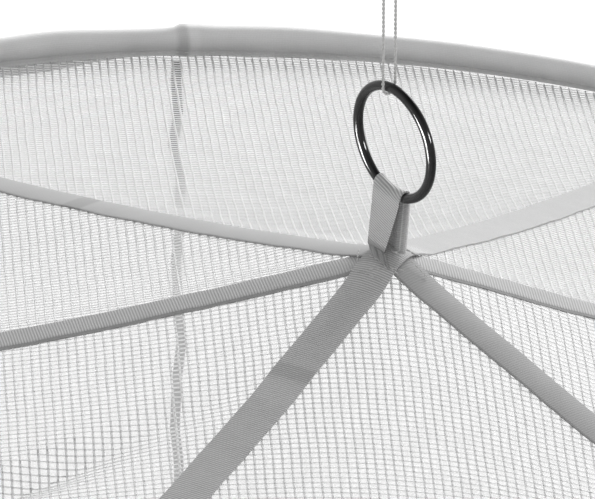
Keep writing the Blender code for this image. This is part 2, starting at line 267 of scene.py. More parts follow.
class Shader(NodeBuilder):
    """A procedural material with one Principled shader."""

    def __init__(self, name: str, constants: dict[str, Any]) -> None:
        """Start a material.

        Args:
            name: the material's name.
            constants: the shader's inputs that are the same all over the surface.
        """
        self.material = bpy.data.materials.new(name)
        self.material.use_nodes = True
        super().__init__(self.material.node_tree)
        self.surface = self.tree.nodes["Principled BSDF"]
        for key, value in constants.items():
            self.feed(self.surface.inputs[key], value)

    def uv(self) -> Value:
        """Give the piece's own UV map, which is in metres."""
        return self.value("ShaderNodeTexCoord", "UV")

    def place(self) -> Value:
        """Give the place on the piece, in metres."""
        return self.value("ShaderNodeTexCoord", "Object")

    def noise(self, place: Value, size: float, detail: float = 2.0) -> Value:
        """Give smooth noise from 0 to 1.

        Args:
            place: where it is read.
            size: how far apart its lumps are.
            detail: how many finer layers it has.

        Returns:
            The noise.
        """
        inputs = {"Vector": place, "Scale": 1 / size, "Detail": detail}
        return self.value("ShaderNodeTexNoise", "Fac", None, inputs)

    def tint(self, share: Value, low: Value | tuple[float, ...], high: tuple[float, ...]) -> Value:
        """Mix two colours.

        Args:
            share: how much there is of the second colour, from 0 to 1.
            low: the first colour, plain or as a value.
            high: the second colour.

        Returns:
            The mixed colour.
        """
        first = low if isinstance(low, Value) else (*low, 1.0)
        inputs = {0: share, MIX_FIRST: first, MIX_SECOND: (*high, 1.0)}
        return self.value("ShaderNodeMix", MIX_RESULT, {"data_type": "RGBA"}, inputs)

    def tone(self, share: Value, colour: tuple[float, ...], darkest: float, lightest: float) -> Value:
        """Give a tone of a colour.

        Args:
            share: how light it is, from 0 to 1.
            colour: the colour itself.
            darkest: the factor on the colour where the share is 0.
            lightest: the factor where it is 1.

        Returns:
            The colour over the surface.
        """
        dark = tuple(part * darkest for part in colour)
        light = tuple(part * lightest for part in colour)
        return self.tint(share, dark, light)

    def drive(self, **links: Value) -> None:
        """Feed inputs of the shader, named with _ for each space."""
        for name, value in links.items():
            self.feed(self.surface.inputs[name.replace("_", " ")], value)

    def relief(self, height: Value, depth: float, strength: float = 1.0) -> None:
        """Raise the surface.

        Args:
            height: the relief's height, from 0 to 1.
            depth: how many metres a height of 1 stands for.
            strength: how strongly it shows.
        """
        inputs = {"Height": height, "Distance": depth, "Strength": strength}
        self.drive(Normal=self.value("ShaderNodeBump", "Normal", None, inputs))


class Shape(NodeBuilder):
    """A Geometry Nodes tree with named inputs."""

    def __init__(self, name: str) -> None:
        """Start a tree that takes and gives one geometry."""
        super().__init__(bpy.data.node_groups.new(name, "GeometryNodeTree"))
        self.sizes: dict[str, str] = {}
        self.start = self.tree.nodes.new("NodeGroupInput")
        self.end = self.tree.nodes.new("NodeGroupOutput")
        self.tree.interface.new_socket("Geometry", in_out="OUTPUT", socket_type="NodeSocketGeometry")
        self.geometry = self.named("Geometry", "NodeSocketGeometry")

    def named(self, name: str, kind: str = "NodeSocketFloat") -> Value:
        """Add an input to the tree."""
        made = self.tree.interface.new_socket(name, in_out="INPUT", socket_type=kind)
        self.sizes[name] = made.identifier
        return Value(self, self.start.outputs[name])

    def circle(self, radius: Value, steps: int) -> Value:
        """Make a circle, as a path or as a profile."""
        inputs = {"Resolution": steps, "Radius": radius}
        return self.value("GeometryNodeCurvePrimitiveCircle", "Curve", None, inputs)

    def swept(self, path: Value, profile: Value, capped: bool) -> Value:
        """Carry a profile along a path."""
        inputs = {"Curve": path, "Profile Curve": profile, "Fill Caps": capped}
        return self.value("GeometryNodeCurveToMesh", "Mesh", None, inputs)

    def close(self, geometry: Value, finish: Value) -> None:
        """End the tree: instances are made real and the finish is set."""
        real = self.value("GeometryNodeRealizeInstances", 0, None, {0: geometry})
        smooth = self.value("GeometryNodeSetShadeSmooth", 0, None, {0: real, "Shade Smooth": True})
        dressed = self.value("GeometryNodeSetMaterial", 0, None, {0: smooth, "Material": finish})
        self.feed(self.end.inputs[0], dressed)

    def run(self, guide: bpy.types.Object, name: str, **sizes: Any) -> bpy.types.Object:
        """Run the tree on a guide, which it uses up.

        Args:
            guide: the object whose geometry the tree takes.
            name: the new piece's name.
            sizes: the tree's inputs, named with _ for each space.

        Returns:
            The piece, as a plain mesh.
        """
        modifier = guide.modifiers.new("shape", "NODES")
        modifier.node_group = self.tree
        for key, size in sizes.items():
            modifier[self.sizes[key.replace("_", " ")]] = size
        graph = bpy.context.evaluated_depsgraph_get()
        mesh = bpy.data.meshes.new_from_object(guide.evaluated_get(graph), depsgraph=graph)
        mesh.name = name
        guide.modifiers.remove(modifier)
        bpy.data.objects.remove(guide, do_unlink=True)
        return add_object(name, mesh)


# Meshes


def add_object(name: str, data: bpy.types.ID) -> bpy.types.Object:
    """Put a mesh or curve in the scene."""
    made = bpy.data.objects.new(name, data)
    bpy.context.scene.collection.objects.link(made)
    return made


def mesh_object(
    name: str,
    points: np.ndarray,
    faces: np.ndarray,
    uv: np.ndarray,
    finish: bpy.types.Material | None,
) -> bpy.types.Object:
    """Make a mesh of quads.

    Args:
        name: the piece's name.
        points: its vertices.
        faces: four vertices for each face.
        uv: a place on the cloth for each corner of each face.
        finish: its material.

    Returns:
        The piece.
    """
    mesh = bpy.data.meshes.new(name)
    mesh.from_pydata(points.reshape(-1, 3).tolist(), [], faces.tolist())
    layer = mesh.uv_layers.new(name="cloth")
    layer.uv.foreach_set("vector", uv.astype(np.float32).ravel())
    if finish:
        mesh.materials.append(finish)
    mesh.shade_smooth()
    return add_object(name, mesh)


def grid_faces(rows: int, columns: int, wrap: bool) -> tuple[np.ndarray, np.ndarray]:
    """Lay quads over a grid of vertices.

    Args:
        rows: how many rows of vertices there are.
        columns: how many vertices each row has.
        wrap: whether the last column meets the first.

    Returns:
        The vertices of each quad, and the row and column of each corner, past the last column
        where a quad wraps.
    """
    across = columns if wrap else columns - 1
    row, column = np.meshgrid(np.arange(rows - 1), np.arange(across), indexing="ij")
    corners = np.stack(
        [
            np.stack((row, column), -1),
            np.stack((row + 1, column), -1),
            np.stack((row + 1, column + 1), -1),
            np.stack((row, column + 1), -1),
        ],
        2,
    ).reshape(-1, 4, 2)
    faces = corners[..., 0] * columns + corners[..., 1] % columns
    return faces, corners


def cloth_sheet(
    name: str,
    points: np.ndarray,
    uv: np.ndarray,
    finish: bpy.types.Material,
    wrap: bool = False,
    flip: bool = False,
) -> bpy.types.Object:
    """Make an open sheet over a grid of points.

    Args:
        name: the piece's name.
        points: the grid, rows by columns.
        uv: the place on the cloth of each grid point, with one more column where the sheet wraps.
        finish: its material.
        wrap: whether the last column meets the first.
        flip: whether the faces are turned over.

    Returns:
        The sheet.
    """
    rows, columns = points.shape[:2]
    faces, corners = grid_faces(rows, columns, wrap)
    if flip:
        faces = faces[:, ::-1]
        corners = corners[:, ::-1]
    return mesh_object(name, points, faces, uv[corners[..., 0], corners[..., 1]], finish)


def thicken(piece: bpy.types.Object, thickness: float, offset: float = -1.0) -> None:
    """Give a sheet its thickness, inwards by default, with a live Solidify modifier."""
    solid = piece.modifiers.new("thickness", "SOLIDIFY")
    solid.thickness = thickness
    solid.offset = offset
    solid.use_even_offset = False
    solid.use_quality_normals = True


def apply_modifiers(piece: bpy.types.Object) -> None:
    """Turn a piece's modifiers into plain mesh."""
    graph = bpy.context.evaluated_depsgraph_get()
    mesh = bpy.data.meshes.new_from_object(piece.evaluated_get(graph), depsgraph=graph)
    mesh.name = piece.name
    mesh.set_sharp_from_angle(angle=SHARP_ANGLE)
    piece.modifiers.clear()
    piece.data = mesh


def close_pole(piece: bpy.types.Object, count: int) -> None:
    """Merge the first vertices of a round sheet, which lie round its middle, into one."""
    mesh = bmesh.new()
    mesh.from_mesh(piece.data)
    mesh.verts.ensure_lookup_table()
    pole = mesh.verts[:count]
    middle = sum((vertex.co for vertex in pole), Vector()) / count
    bmesh.ops.pointmerge(mesh, verts=pole, merge_co=middle)
    mesh.to_mesh(piece.data)
    mesh.free()


def guide_curve(name: str, points: np.ndarray) -> bpy.types.Object:
    """Make a curve through points, for a tree to build on."""
    curve = bpy.data.curves.new(name, "CURVE")
    curve.dimensions = "3D"
    spline = curve.splines.new("POLY")
    spline.points.add(len(points) - 1)
    spline.points.foreach_set("co", np.column_stack((points, np.ones(len(points)))).ravel())
    return add_object(name, curve)


def guide_lines(name: str, lines: list[np.ndarray]) -> bpy.types.Object:
    """Make a guide mesh of open lines."""
    edges = []
    start = 0
    for line in lines:
        edges += [(start + k, start + k + 1) for k in range(len(line) - 1)]
        start += len(line)
    mesh = bpy.data.meshes.new(name)
    mesh.from_pydata(np.concatenate(lines).tolist(), edges, [])
    return add_object(name, mesh)


def guide_points(
    name: str,
    points: np.ndarray,
    along: np.ndarray,
    out: np.ndarray,
) -> bpy.types.Object:
    """Make a guide of loose points, each with the way that it lies and the way out of the cloth."""
    mesh = bpy.data.meshes.new(name)
    mesh.from_pydata(points.tolist(), [], [])
    for label, vectors in (("along", along), ("out", out)):
        layer = mesh.attributes.new(label, "FLOAT_VECTOR", "POINT")
        layer.data.foreach_set("vector", vectors.astype(np.float32).ravel())
    return add_object(name, mesh)


# Finishes


@dataclass(frozen=True)
class Netting:
    """A coarse even net with thick warp and thin cross threads.

    The sheet is solid where a thread runs and clear in the meshes between them. Painted shade
    darkens it between two places down it.
    """

    name: str = "netting"
    pitch_across: float = 2.82 * MM
    pitch_along: float = 2.37 * MM
    warp: float = 0.36 * MM
    cross: float = 0.22 * MM
    corner: float = 0.5 * MM
    soft: float = 0.05 * MM
    sway: float = 0.05
    sway_length: float = 44 * MM
    clear: float = 0.1
    solid: float = 1.0
    thread: float = 0.6
    joint: float = 0.45
    joint_from: float = 0.3 * MM
    joint_to: float = 0.5 * MM
    # How much painted shade darkens the net low down, and between which places down it
    painted_shade: float = 0.0
    painted_shade_from: float = 60 * MM
    painted_shade_to: float = 450 * MM
    fibre_size: float = 0.35 * MM
    relief: float = 0.18 * MM

    def sway_at(self, run: Any, aside: Any, sine: Callable[[Any], Any]) -> Any:
        """Give how far a thread sways from its straight line, in meshes.

        Args:
            run: the distance along the thread, as numbers or as a shader's value.
            aside: the distance across the threads.
            sine: the sine for that kind of value.

        Returns:
            The sway, of the same kind.
        """
        turn = 2 * math.pi / self.sway_length
        long_wave = sine(run * turn + aside * (0.31 * turn))
        short_wave = sine(run * (1.73 * turn) - aside * (0.47 * turn)) * 0.6
        return (long_wave + short_wave) * (self.sway / 2)

    def offset_from_mesh(self, place: Value, pitch: float, sway: Value) -> Value:
        """Give the distance from the middle of the nearest mesh, along one direction."""
        return abs((place / pitch + sway).fraction() - 0.5) * pitch

    def make(self) -> bpy.types.Material:
        """Build the material."""
        shader = Shader(self.name, {"Roughness": 0.75, "Specular IOR Level": 0.25})
        uv = shader.uv()
        u, v, _ = shader.parts(uv)
        across = self.offset_from_mesh(u, self.pitch_across, self.sway_at(v, u, Value.sine))
        along = self.offset_from_mesh(v, self.pitch_along, self.sway_at(u, v, Value.sine))
        past_warp = across - ((self.pitch_across - self.warp) / 2 - self.corner)
        past_cross = along - ((self.pitch_along - self.cross) / 2 - self.corner)
        outer_u = past_warp.at_least(0.0)
        outer_v = past_cross.at_least(0.0)
        outside = (outer_u * outer_u + outer_v * outer_v).root()
        edge = outside + past_warp.at_least(past_cross).at_most(0.0) - self.corner
        thread = self.clear + edge.rise(-self.soft, self.soft) * (self.solid - self.clear)
        on_warp = past_warp.rise(self.joint_from, self.joint_to)
        on_cross = past_cross.rise(self.joint_from, self.joint_to)
        fibre = shader.noise(uv, self.fibre_size)
        shade = (1 - on_warp * on_cross) * (0.85 + 0.3 * fibre)
        weave = shader.tint(shade, (self.joint,) * 3, (self.thread,) * 3)
        # Painted shade: the net darkens towards black between two places down it
        lower = v.rise(self.painted_shade_from, self.painted_shade_to) * self.painted_shade
        shader.drive(Base_Color=shader.tint(lower, weave, BLACK), Alpha=thread)
        inward = 1 - (edge / (self.warp / 2)).at_least(0.0).at_most(1.0)
        round_thread = (1 - inward * inward).at_least(0.0).root()
        shader.relief(round_thread + 0.15 * fibre, self.relief)
        return shader.material


ROOF_NETTING = Netting()
# The wall's net, whose folds lie one behind another: an even haze of threads and meshes
WALL_NETTING = Netting(
    name="wall_netting",
    warp=0.8 * MM,
    cross=0.7 * MM,
    soft=0.5 * MM,
    clear=0.36,
    solid=0.46,
    thread=0.94,
    joint=0.84,
    # Painted shade, darkening the wall low down
    painted_shade=0.3,
)


@dataclass(frozen=True)
class NetThread:
    """The threads of the net: pale spun fibre, which lets light through, darkened by painted shade at the
    back.
    """

    name: str
    colour: tuple[float, float, float]
    # How much painted shade darkens the threads at the back, and where it grows
    painted_shade: float
    painted_shade_from: float = -20 * MM
    painted_shade_to: float = 70 * MM
    glow: float = 0.9 * MM
    fibre_size: float = 0.3 * MM
    cloud_size: float = 9 * MM
    relief: float = 0.06 * MM

    def make(self) -> bpy.types.Material:
        """Build the material."""
        constants = {
            "Specular IOR Level": 0.05,
            "Subsurface Weight": 1.0,
            "Subsurface Radius": (1.0, 1.0, 1.0),
            "Subsurface Scale": self.glow,
        }
        shader = Shader(self.name, constants)
        place = shader.place()
        fibre = shader.noise(place, self.fibre_size)
        cloud = shader.noise(place, self.cloud_size)
        shade = 0.5 + (fibre - 0.5) * 0.8 + (cloud - 0.5) * 0.5
        _, back, _ = shader.parts(place)
        # Painted shade: the threads darken towards black towards the back
        far = back.rise(self.painted_shade_from, self.painted_shade_to) * self.painted_shade
        colour = shader.tint(far, shader.tone(shade, self.colour, 0.8, 1.15), BLACK)
        shader.drive(Base_Color=colour, Roughness=0.65 + fibre * 0.25)
        shader.relief(fibre, self.relief, 0.6)
        return shader.material


# Painted shade darkens the threads towards the back, the warp threads more than the cross threads
WARP_THREAD = NetThread("warp_thread", (0.68, 0.68, 0.68), painted_shade=0.17)
CROSS_THREAD = NetThread("cross_thread", (0.73, 0.73, 0.73), painted_shade=0.03)


@dataclass(frozen=True)
class PaintedShade:
    """A stretch of a tape under painted shade, or painted light where the dark is below 0, in millimetres.
    """

    start: float
    end: float
    soft: float
    dark: float

    def on(self, place: Value) -> Value:
        """Give how much the painted shade darkens the tape at a place."""
        start, end, soft = self.start * MM, self.end * MM, self.soft * MM
        return (place.rise(start, start + soft) - place.rise(end, end + soft)) * self.dark


@dataclass(frozen=True)
class RibbedTape:
    """A matte tape woven with ribs across it.

    Past the edge distance from its middle line, on its near side, it is turned under: there it is
    smooth, under painted shade, with a painted shadow line where the turn begins. Marks are
    stretches along the tape with painted shade, or painted light where their dark is below 0. Past
    the far leg's start the ribs are fainter, and stripes of painted shade and painted highlight run
    along the tape.
    """

    name: str = "ribbed_tape"
    colour: tuple[float, float, float] = (0.43, 0.43, 0.43)
    rib: float = 0.9 * MM
    rib_depth: float = 0.1 * MM
    slant: float = 0.0
    contrast: float = 1.8
    darkest: float = 0.62
    edge: float = 1.0
    marks: tuple[PaintedShade, ...] = ()
    far_leg: float = 1.0
    far_soft: float = 1.5 * MM
    stripes: tuple[PaintedShade, ...] = ()
    band_soft: float = 0.25 * MM
    line_width: float = 0.35 * MM
    drift_size: float = 9 * MM
    fibre_size: float = 0.3 * MM
    cloud_size: float = 6 * MM
    uneven_size: float = 0.7 * MM
    uneven_stretch: tuple[float, float, float] = (1.0, 0.2, 1.0)

    def make(self) -> bpy.types.Material:
        """Build the material."""
        shader = Shader(self.name, WOVEN)
        uv = shader.uv()
        u, v, _ = shader.parts(uv)
        drift = shader.noise(uv, self.drift_size) - 0.5
        turn = (u + v * self.slant) / self.rib + drift * 0.35
        band = v.rise(self.edge, self.edge + self.band_soft)
        line = v.rise(self.edge - self.line_width, self.edge) - band
        rib = (0.5 - 0.5 * (turn * (2 * math.pi)).cosine()) * (1 - band)
        uneven = shader.noise(shader.vector("MULTIPLY", uv, self.uneven_stretch), self.uneven_size)
        fibre = shader.noise(uv, self.fibre_size, 3.0)
        cloud = shader.noise(uv, self.cloud_size, 3.0)
        far = u.rise(self.far_leg, self.far_leg + self.far_soft)
        depth = (0.15 + uneven * 0.4) * self.contrast * (1 - far * 0.7)
        shade = 0.56 + (rib - 0.5) * depth + (fibre - 0.5) * 0.25 + (cloud - 0.5) * 0.2
        # Painted shade on the turned-under edge, and a painted shadow line where the turn begins
        shade = shade - band * 0.22 - line * 0.4
        # Stripes and marks paint shade, or light where their dark is below 0
        for stripe in self.stripes:
            shade = shade - stripe.on(v) * far
        for mark in self.marks:
            shade = shade - mark.on(u)
        colour = shader.tone(shade, self.colour, self.darkest, 1.22)
        shader.drive(Base_Color=colour, Roughness=0.72 + fibre * 0.2)
        shader.relief(rib * 0.8 + fibre * 0.25, self.rib_depth)
        return shader.material


# The tape over the ring, crumpled at its toe and ridged down its far leg: painted shadow on the toe,
# painted shade over its top, and stripes of painted shade and painted highlight down the far leg
LOOP_TAPE = RibbedTape(
    name="loop_tape",
    colour=(0.5, 0.5, 0.5),
    rib_depth=0.16 * MM,
    slant=0.25,
    contrast=2.8,
    marks=(PaintedShade(-2, 8.5, 1.5, 0.9), PaintedShade(28, 35, 1.5, 0.3)),
    far_leg=35.5 * MM,
    stripes=(PaintedShade(-8, 3.3, 0.4, 0.35), PaintedShade(3.5, 4.0, 0.3, -0.6), PaintedShade(5.3, 8, 0.3, -0.35)),
)
# The tapes across the roof: the two narrow ones are turned under at their near edge, under painted
# shade there. Their different colours paint the light and shade that each tape gets
LIPPED_TAPE = RibbedTape(name="tape_turned_under", colour=(0.4, 0.4, 0.4), contrast=1.5, edge=4.3 * MM)
# Painted shadow of the loop over the tapes where they cross at the crown
PAINTED_HUB_SHADOW = PaintedShade(-8, 6, 3, 0.35)
# The middle tape: painted shade for a crease on its far left leg, and painted light along the rest of that
# leg
ARCHED_TAPE = RibbedTape(
    name="tape_arched",
    colour=(0.35, 0.35, 0.35),
    rib_depth=0.05 * MM,
    contrast=0.8,
    edge=5.1 * MM,
    marks=(PAINTED_HUB_SHADOW, PaintedShade(-137, -129, 2, 0.35), PaintedShade(-275, -26, 12, -0.18)),
)
# The over tape: painted shade for a crease on its near leg, with painted light just past it
CREASED_TAPE = RibbedTape(
    name="tape_creased",
    colour=(0.46, 0.46, 0.46),
    contrast=2.8,
    marks=(PAINTED_HUB_SHADOW, PaintedShade(60, 66.5, 1.5, 0.3), PaintedShade(68, 78, 3, -0.12)),
)
# The seam's binding, darkened by painted shade over its top stretch below the casing
SEAM_TAPE = RibbedTape(
    name="seam_tape",
    colour=(0.66, 0.66, 0.66),
    rib_depth=0.04 * MM,
    contrast=0.4,
    darkest=0.25,
    marks=(PaintedShade(-9, 58, 12, 0.8),),
)


@dataclass(frozen=True)
class CasingCloth:
    """A plain woven tape, finer than the ribbed one: painted light over the wire, painted shade below.

    Where its ends overlap, a strip past the join is darker and one before it paler.
    """

    name: str = "casing_tape"
    colour: tuple[float, float, float] = (0.43, 0.43, 0.43)
    yarn: float = 0.55 * MM
    # Where the painted light over the wire is brightest, and how far it spreads
    middle: float = 14 * MM
    spread: float = 10 * MM
    join: float = 511.3 * MM
    strip: float = 3.9 * MM
    soft: float = 1.2 * MM
    fibre_size: float = 0.4 * MM
    cloud_size: float = 12 * MM
    relief: float = 0.1 * MM

    def make(self) -> bpy.types.Material:
        """Build the material."""
        shader = Shader(self.name, WOVEN)
        uv = shader.uv()
        u, v, _ = shader.parts(uv)
        warp = 0.5 + 0.5 * (u / self.yarn * 2 * math.pi).sine()
        weft = 0.5 + 0.5 * (v / self.yarn * 2 * math.pi).sine()
        fibre = shader.noise(uv, self.fibre_size, 3.0)
        cloud = shader.noise(uv, self.cloud_size, 3.0)
        weave = warp * weft
        # Painted light over the top of the wire, fading to painted shade on the flaps
        stretched = 1 - abs(v - self.middle).rise(0.0, self.spread)
        past = u - self.join
        start = past.rise(-self.soft, self.soft)
        lapped = start - past.rise(self.strip - self.soft, self.strip + self.soft)
        beside = past.rise(-self.strip - self.soft, self.soft - self.strip) - start
        shade = 0.16 + stretched * 0.8 + weave * 0.1 + (fibre - 0.5) * 0.2 + (cloud - 0.5) * 0.2
        shade = shade - lapped * 0.24 + beside * 0.1
        colour = shader.tone(shade, self.colour, 0.75, 1.9)
        shader.drive(Base_Color=colour, Roughness=0.75 + fibre * 0.15)
        shader.relief(weave * 0.7 + fibre * 0.3, self.relief)
        return shader.material


@dataclass(frozen=True)
class Twine:
    """Twisted cord and sewing thread: pale fibres, matte."""

    name: str = "twine"
    colour: tuple[float, float, float] = (0.5, 0.5, 0.495)
    fibre_size: float = 0.16 * MM
    fibre_stretch: tuple[float, float, float] = (1.0, 1.0, 0.35)
    cloud_size: float = 2.5 * MM
    relief: float = 0.05 * MM

    def make(self) -> bpy.types.Material:
        """Build the material."""
        shader = Shader(self.name, {"Specular IOR Level": 0.25, "Sheen Weight": 0.2})
        place = shader.place()
        stretched = shader.vector("MULTIPLY", place, self.fibre_stretch)
        fibre = shader.noise(stretched, self.fibre_size, 3.0)
        cloud = shader.noise(place, self.cloud_size)
        shade = 0.5 + (fibre - 0.5) * 0.9 + (cloud - 0.5) * 0.4
        colour = shader.tone(shade, self.colour, 0.7, 1.2)
        shader.drive(Base_Color=colour, Roughness=0.8 + fibre * 0.15)
        shader.relief(fibre, self.relief)
        return shader.material


@dataclass(frozen=True)
class DarkMetal:
    """Glossy dark plating, nearly black, with the faintest draw marks."""

    name: str = "dark_metal"
    colour: tuple[float, float, float] = (0.002, 0.002, 0.002)
    cloud_size: float = 5 * MM
    grain_size: float = 0.25 * MM
    relief: float = 0.01 * MM

    def make(self) -> bpy.types.Material:
        """Build the material."""
        shader = Shader(self.name, {"IOR": 1.27})
        place = shader.place()
        cloud = shader.noise(place, self.cloud_size, 3.0)
        grain = shader.noise(place, self.grain_size)
        colour = shader.tone(cloud, self.colour, 0.7, 1.6)
        shader.drive(Base_Color=colour, Roughness=0.09 + cloud * 0.04 + grain * 0.02)
        shader.relief(cloud, self.relief, 0.2)
        return shader.material


@dataclass(frozen=True)
class HoopWire:
    """Pale painted wire, hidden in its casing."""

    name: str = "hoop_wire"
    colour: tuple[float, float, float] = (0.62, 0.62, 0.62)
    cloud_size: float = 8 * MM
    peel_size: float = 1.2 * MM
    relief: float = 0.04 * MM

    def make(self) -> bpy.types.Material:
        """Build the material."""
        shader = Shader(self.name, {"Coat Weight": 0.2, "Coat Roughness": 0.3})
        place = shader.place()
        cloud = shader.noise(place, self.cloud_size, 3.0)
        peel = shader.noise(place, self.peel_size)
        colour = shader.tone(cloud, self.colour, 0.85, 1.0)
        shader.drive(Base_Color=colour, Roughness=0.35 + cloud * 0.15)
        shader.relief(peel, self.relief, 0.5)
        return shader.material


@dataclass(frozen=True)
class PaleFloor:
    """The plain floor of the studio."""

    name: str = "studio_floor"
    colour: tuple[float, float, float] = (0.95, 0.95, 0.95)
    glow: float = 0.3
    cloud_size: float = 1.5

    def make(self) -> bpy.types.Material:
        """Build the material."""
        constants = {
            "Roughness": 0.9,
            "Specular IOR Level": 0.1,
            "Emission Color": (1.0, 1.0, 1.0, 1.0),
            "Emission Strength": self.glow,
        }
        shader = Shader(self.name, constants)
        cloud = shader.noise(shader.place(), self.cloud_size)
        shader.drive(Base_Color=shader.tone(cloud, self.colour, 0.99, 1.0))
        return shader.material


# The hanging shape


@dataclass(frozen=True)
class CanopyForm:
    """The shape in which the canopy hangs: every cloth piece follows it."""

    crown_z: float = -120 * MM
    crown_rise: float = 1.3 * MM
    crown_rounding: float = 4 * MM
    layer: float = 1.45 * MM
    hoop_radius: float = 280 * MM
    hoop_wire: float = 5.5 * MM
    hoop_drop: float = 52.5 * MM
    slope_x: float = -0.096
    slope_y: float = -0.099
    roof_seat: float = 5.2 * MM
    tape_sag: float = 6.5 * MM
    panel_sags: tuple[float, ...] = (3 * MM, 4 * MM, 3 * MM, 0.8 * MM, 0.3 * MM, 0.8 * MM)
    tape_headings: tuple[float, ...] = (6.5, 64.1, 138.9, 192.2, 243.2, 314.5)
    tape_flat: float = 3 * MM
    tape_ease: float = 18 * MM
    hub_puff: float = 0.8 * MM
    hub_width: float = 7 * MM
    net_below: float = 0.5 * MM
    seat: float = 0.75 * MM
    stack: float = 0.85 * MM
    stack_flat: float = 7 * MM
    stack_end: float = 21 * MM

    def hoop_height(self, x: np.ndarray, y: np.ndarray) -> np.ndarray:
        """Give the height of the hoop's centreline over a place."""
        return self.crown_z - self.hoop_drop + self.slope_x * x + self.slope_y * y

    def panel(self, heading: np.ndarray) -> tuple[np.ndarray, np.ndarray]:
        """Give the panel of each heading in degrees, and how far through it the heading is."""
        edges = np.array(self.tape_headings + (self.tape_headings[0] + 360,))
        turned = np.mod(heading - edges[0], 360) + edges[0]
        place = np.interp(turned, edges, np.arange(len(edges)))
        number = np.minimum(place.astype(int), len(self.tape_headings) - 1)
        return number, place - number

    def from_tape(self, radius: np.ndarray, heading: np.ndarray) -> np.ndarray:
        """Give how far places are from the middle line of the nearest tape."""
        away = [np.abs(np.mod(heading - line + 180, 360) - 180) for line in self.tape_headings]
        return radius * np.sin(np.radians(np.minimum(np.min(away, axis=0), 90)))

    def net(self, x: np.ndarray, y: np.ndarray) -> np.ndarray:
        """Give the height of the roof net, before its creases."""
        radius = np.hypot(x, y)
        heading = np.degrees(np.arctan2(y, x))
        rounded = np.hypot(radius, self.crown_rounding) - self.crown_rounding
        whole = math.hypot(self.hoop_radius, self.crown_rounding) - self.crown_rounding
        share = rounded / whole
        rim = on_heading(heading, self.hoop_radius)
        top = self.crown_z - self.crown_rise - self.layer
        drop = top - self.hoop_height(rim[..., 0], rim[..., 1]) + self.roof_seat
        bow = 4 * share * (1 - share)
        number, through = self.panel(heading)
        between = np.take(self.panel_sags, number) * np.sin(np.pi * through)
        between = between * smooth_step(self.from_tape(radius, heading), self.tape_flat, self.tape_ease)
        puff = self.hub_puff * np.exp(-((radius / self.hub_width) ** 2))
        return top - drop * share - (self.tape_sag + between) * bow - self.net_below + puff

    def tape_top(self, x: np.ndarray, y: np.ndarray, layers: int) -> np.ndarray:
        """Give the height of the top of a tape that has so many tapes under it at the crown."""
        lift = layers * self.stack * (1 - smooth_step(np.hypot(x, y), self.stack_flat, self.stack_end))
        return self.net(x, y) + self.seat + lift


@dataclass(frozen=True)
class Crease:
    """A valley with two straight sides, pulled into the net along a bent line."""

    line: tuple[tuple[float, float], ...]
    depth: float
    far_side: float = 11 * MM
    near_slope: float = 0.42
    near_side: float = 8 * MM
    near_fade: float = 12 * MM
    rounding: float = 0.6 * MM
    fade: float = 26 * MM
    weaker: float = 0.75
    weaker_from: float = 0.35

    def lift(self, x: np.ndarray, y: np.ndarray) -> np.ndarray:
        """Give how far the crease lifts the net, which is down where it is negative."""
        best = np.full(np.shape(x), np.inf)
        side = np.zeros(np.shape(x))
        strength = np.zeros(np.shape(x))
        total = len(self.line) - 1
        for index, ((x0, y0), (x1, y1)) in enumerate(zip(self.line, self.line[1:])):
            length = math.hypot(x1 - x0, y1 - y0)
            ux, uy = (x1 - x0) / length, (y1 - y0) / length
            run = (x - x0) * ux + (y - y0) * uy
            held = np.clip(run, 0, length)
            away = np.hypot(x - x0 - held * ux, y - y0 - held * uy)
            nearer = away < best
            past = (index + held / length) / total
            gone = np.maximum(0, np.maximum(-run, run - length))
            held_up = 1 - self.weaker * smooth_step(past, self.weaker_from, 1.0)
            ends = np.exp(-((gone / self.fade) ** 2)) * held_up
            best = np.where(nearer, away, best)
            side = np.where(nearer, (y - y0) * ux - (x - x0) * uy, side)
            strength = np.where(nearer, ends, strength)
        away = np.hypot(side, self.rounding) - self.rounding
        far = self.depth * np.clip(1 - away / self.far_side, 0, 1)
        step = self.depth - self.near_slope * self.near_side
        beyond = np.maximum(0, away - self.near_side)
        near = np.maximum(self.depth - self.near_slope * np.minimum(away, self.near_side), step)
        near = near * np.exp(-beyond / self.near_fade)
        return -np.where(side > 0, far, near) * strength


@dataclass(frozen=True)
class Pull:
    """How far, where and over what width the cross threads are pulled out of line."""

    amount: float
    at: float
    over: float

    def share(self, across: np.ndarray) -> np.ndarray:
        """Give the pull at places across the net."""
        return self.amount * np.tanh((across - self.at) / self.over)


